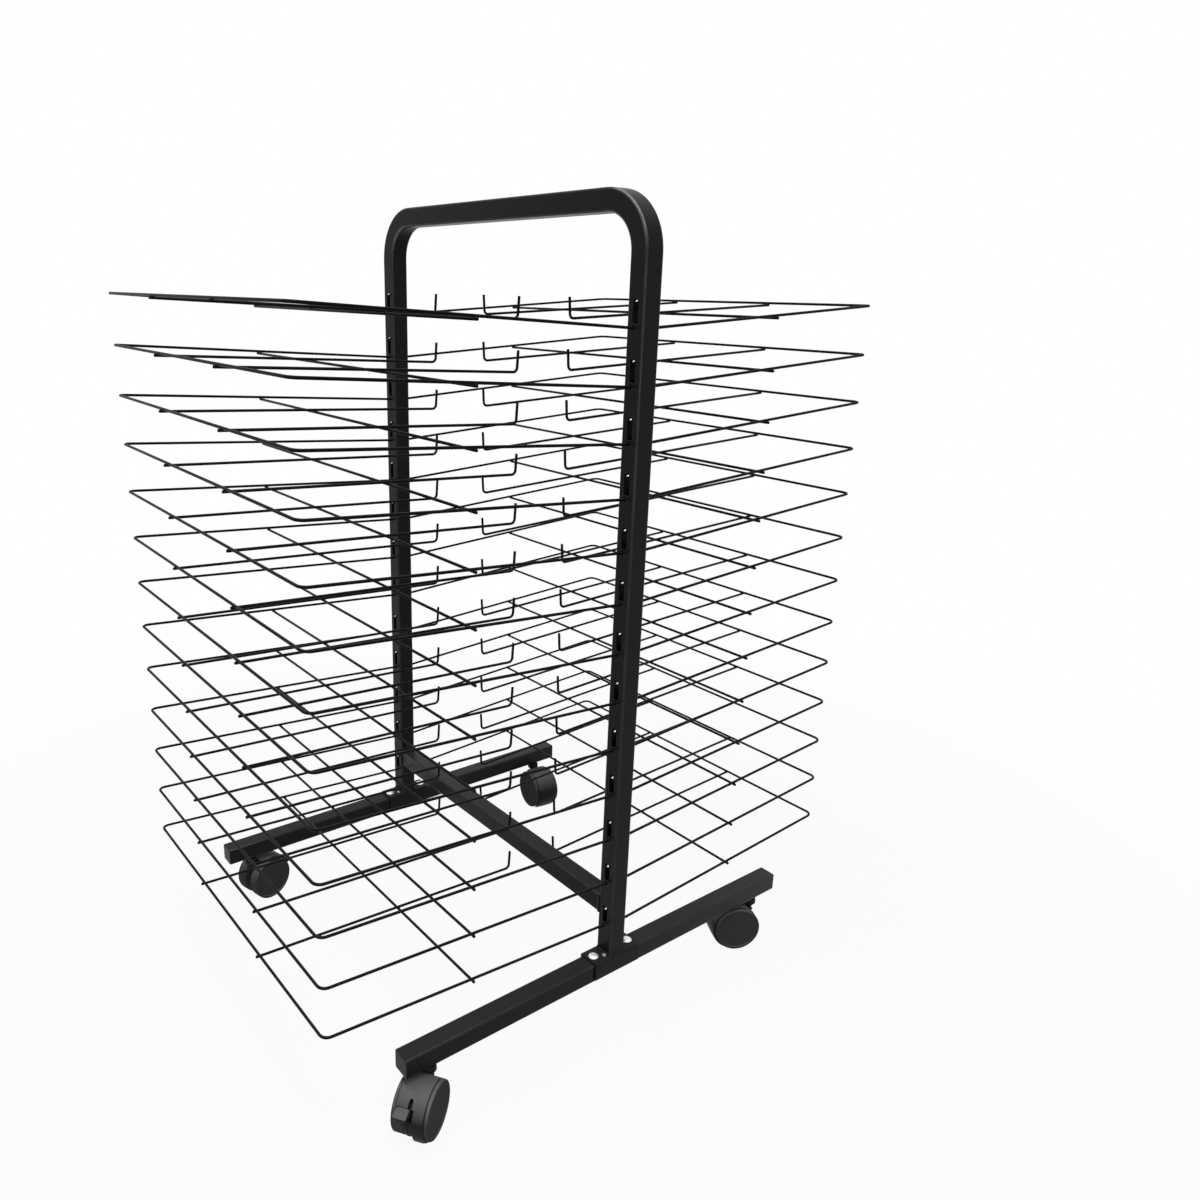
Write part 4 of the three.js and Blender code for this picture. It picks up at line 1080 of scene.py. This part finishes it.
class RACK_OT_wheels(bpy.types.Operator):
    """Turn the eight wheels"""

    bl_idname = "rack.wheels"
    bl_label = "Wheels"

    def execute(self, context):
        c = context.scene.rack_casters
        grid, wear = wheel_grid(c)
        for caster in CASTERS:
            for letter, way in (("a", 1.0), ("b", -1.0)):
                name = f"{caster[0]}_wheel_{letter}"
                faces = at_caster(grid_faces(grid * np.array([1.0, way, 1.0]), wear), c, caster)
                put(f"{name}_disc", [(faces, 0)], ["wheel_moulding"], name, name, sharp=50.0)
        return {"FINISHED"}


class RACK_OT_stems(bpy.types.Operator):
    """Turn the caster stems and axles"""

    bl_idname = "rack.stems"
    bl_label = "Stems and axles"

    def execute(self, context):
        c = context.scene.rack_casters
        low, high = STEM_LOW.z, STEM_HIGH.z
        under, over = c.boss_top + 0.3 * MM, FOOT_LOW.z - 0.3 * MM
        third = (over - under) / 3
        pairs = [(0, low), (c.stem, low), (c.stem, under), (c.collar, under), (c.collar, under + 2 * third)]
        pairs += [(c.collar - 1.0 * MM, under + 2 * third), (c.collar - 1.0 * MM, under + 2.3 * third)]
        pairs += [(c.collar, under + 2.3 * third), (c.collar, over), (c.stem, over), (c.stem, high), (0, high)]
        rounds_at = [0.6 * MM, 0.1 * MM, 0.4 * MM, 0.3 * MM, 0.1 * MM, 0.1 * MM, 0.3 * MM, 0.3 * MM, 0.1 * MM, 0.6 * MM]
        pin = turned(profile_line(pairs, rounds_at, 2), 28)
        ends = [(0, -c.axle_half), (c.axle, -c.axle_half), (c.axle, c.axle_half), (0, c.axle_half)]
        bar = turned(profile_line(ends, (0.4 * MM, 0.4 * MM), 2), 20, axis=1)
        for caster in CASTERS:
            place, x, y = caster[:3]
            spot = np.array([x * c.stem_x, y * SPAN, 0.0])
            # the stem takes the blackened steel, darkened further as painted shade
            put(f"{place}_stem_pin", one(pin + spot), ["shaded_dark_steel"], "frame", f"{place}_stem")
            faces = at_caster(grid_faces(bar), c, caster)
            put(f"{place}_axle_bar", [(faces, 0)], ["plain_steel"], f"{place}_caster", f"{place}_axle")
        return {"FINISHED"}


def seen_directly(shader):
    """1 on rays from the camera, or off gloss or through glass, and 0 on others."""
    path = shader.node("ShaderNodeLightPath").outputs
    rays = [Value(shader, path[name]) for name in ("Is Camera Ray", "Is Glossy Ray", "Is Transmission Ray")]
    return shader.value("ShaderNodeClamp", 0, None, {0: rays[0] + rays[1] + rays[2]})


class RACK_OT_stage(bpy.types.Operator):
    """Set the floor, the light and the camera"""

    bl_idname = "rack.stage"
    bl_label = "Stage"

    def execute(self, context):
        g, scene = context.scene.rack_stage, context.scene
        scene.view_settings.view_transform = "Standard"
        self.lay_floor(scene, g)
        self.light_world(scene, g)
        self.hang_light(scene, "light_above", (-0.45, -0.3, 2.2), (-0.45, -0.05, 0.4), (0.5, 2.6), g.key)
        self.hang_light(scene, "light_on_the_left", (-1.2, -1.6, 0.6), (0.0, -0.1, 0.2), (0.8, 0.8), g.fill)
        self.set_camera(scene, g)
        return {"FINISHED"}

    def lay_floor(self, scene, g):
        """A wide flat floor that scatters light. Where it is looked at it is mostly plain white around the rack, so that
        it keeps the shadow, and wholly so further out."""
        k = np.linspace(-1.0, 1.0, 9)
        grid = np.stack([*np.meshgrid(30.0 * k, 30.0 * k, indexing="ij"), np.zeros((9, 9))], axis=2)
        corners, loops, _ = weld(flat_list(grid_faces(grid)))
        mesh = bpy.data.meshes.new("floor")
        mesh.from_pydata(corners[:, :3].tolist(), [], loops)
        mesh.flip_normals()
        material = bpy.data.materials.new("floor_paper")
        material.use_nodes = True
        s = Shader(material.node_tree)
        matt = s.node("ShaderNodeBsdfDiffuse", None, {"Color": (*g.floor, 1.0)})
        glow = s.node("ShaderNodeEmission", None, {"Strength": 1.0})
        place = s.node("ShaderNodeTexCoord").outputs["Object"]
        away = s.value("ShaderNodeVectorMath", "Value", {"operation": "LENGTH"}, {0: place})
        fade = {0: away, 1: 0.5, 2: 1.5, 3: g.paper, 4: 1.0}
        plain = s.value("ShaderNodeMapRange", "Result", {"interpolation_type": "SMOOTHSTEP"}, fade)
        sockets = {0: plain * seen_directly(s), 1: matt.outputs[0], 2: glow.outputs[0]}
        s.node("ShaderNodeOutputMaterial", None, {"Surface": s.node("ShaderNodeMixShader", None, sockets).outputs[0]})
        mesh.materials.append(material)
        floor = bpy.data.objects.new("floor", mesh)
        scene.collection.objects.link(floor)

    def light_world(self, scene, g):
        """Soft light all around, plain white where it is looked at."""
        world = bpy.data.worlds.new("soft_surround")
        world.use_nodes = True
        scene.world = world
        s = Shader(world.node_tree)
        soft = s.node("ShaderNodeBackground", None, {"Strength": g.surround})
        white = s.node("ShaderNodeBackground", None, {"Strength": 1.0})
        for background in (soft, white):
            background.inputs["Color"].default_value = (1.0, 1.0, 1.0, 1.0)
        sockets = {0: seen_directly(s), 1: soft.outputs[0], 2: white.outputs[0]}
        s.node("ShaderNodeOutputWorld", None, {"Surface": s.node("ShaderNodeMixShader", None, sockets).outputs[0]})

    def hang_light(self, scene, name, at, towards, size, power):
        """An oblong soft light that faces a point."""
        lamp = bpy.data.lights.new(name, "AREA")
        lamp.shape = "RECTANGLE"
        lamp.size, lamp.size_y = size
        lamp.energy = power
        light = bpy.data.objects.new(name, lamp)
        light.location = at
        light.rotation_euler = (Vector(towards) - Vector(at)).to_track_quat("-Z", "Y").to_euler()
        scene.collection.objects.link(light)

    def set_camera(self, scene, g):
        """Camera by yaw, pitch and roll: the view d drops by the pitch, and right and up roll about it."""
        d = Vector((math.sin(g.yaw) * math.cos(g.pitch), math.cos(g.yaw) * math.cos(g.pitch), -math.sin(g.pitch)))
        level = Vector((math.cos(g.yaw), -math.sin(g.yaw), 0.0))
        rise = level.cross(d)
        right = math.cos(g.roll) * level + math.sin(g.roll) * rise
        up = math.cos(g.roll) * rise - math.sin(g.roll) * level
        lens = bpy.data.cameras.new("camera")
        lens.lens = g.lens
        lens.shift_x = g.shift_x
        lens.shift_y = g.shift_y
        lens.clip_start = 0.01
        camera = bpy.data.objects.new("camera", lens)
        turn = Matrix((right, up, -d)).transposed().to_4x4()
        camera.matrix_world = Matrix.Translation(g.camera_at) @ turn
        scene.collection.objects.link(camera)
        scene.camera = camera


STEPS = (
    RACK_OT_finishes,
    RACK_OT_hoop,
    RACK_OT_rail,
    RACK_OT_feet,
    RACK_OT_saddles,
    RACK_OT_fasteners,
    RACK_OT_shelves,
    RACK_OT_stems,
    RACK_OT_hoods,
    RACK_OT_wheels,
    RACK_OT_pedals,
    RACK_OT_stage,
)


class RACK_PT_build(bpy.types.Panel):
    """Sidebar panel with the steps and sizes of the rack"""

    bl_label = "Art Drying Rack"
    bl_idname = "RACK_PT_build"
    bl_space_type = "VIEW_3D"
    bl_region_type = "UI"
    bl_category = "Rack"

    def draw(self, context):
        for step in STEPS:
            self.layout.operator(step.bl_idname)
        for name in GROUPS:
            column = self.layout.column(align=True)
            group = getattr(context.scene, name)
            for key in group.__annotations__:
                column.prop(group, key)


GROUPS = {
    "rack_tubes": RackTubes,
    "rack_shelves": RackShelves,
    "rack_casters": RackCasters,
    "rack_finish": RackFinish,
    "rack_stage": RackStage,
}


def register():
    """Registers the groups of sizes, the steps and the panel."""
    for name, group in GROUPS.items():
        bpy.utils.register_class(group)
        setattr(bpy.types.Scene, name, PointerProperty(type=group))
    for step in STEPS:
        bpy.utils.register_class(step)
    bpy.utils.register_class(RACK_PT_build)


def unregister():
    """Takes the panel, the steps and the groups away again."""
    bpy.utils.unregister_class(RACK_PT_build)
    for step in reversed(STEPS):
        bpy.utils.unregister_class(step)
    for name, group in reversed(GROUPS.items()):
        delattr(bpy.types.Scene, name)
        bpy.utils.unregister_class(group)


def main():
    """Builds the rack step by step."""
    register()
    bpy.ops.rack.finishes()
    bpy.ops.rack.hoop()
    bpy.ops.rack.rail()
    bpy.ops.rack.feet()
    bpy.ops.rack.saddles()
    bpy.ops.rack.fasteners()
    bpy.ops.rack.shelves()
    bpy.ops.rack.stems()
    bpy.ops.rack.hoods()
    bpy.ops.rack.wheels()
    bpy.ops.rack.pedals()
    bpy.ops.rack.stage()


if __name__ == "__main__":
    main()
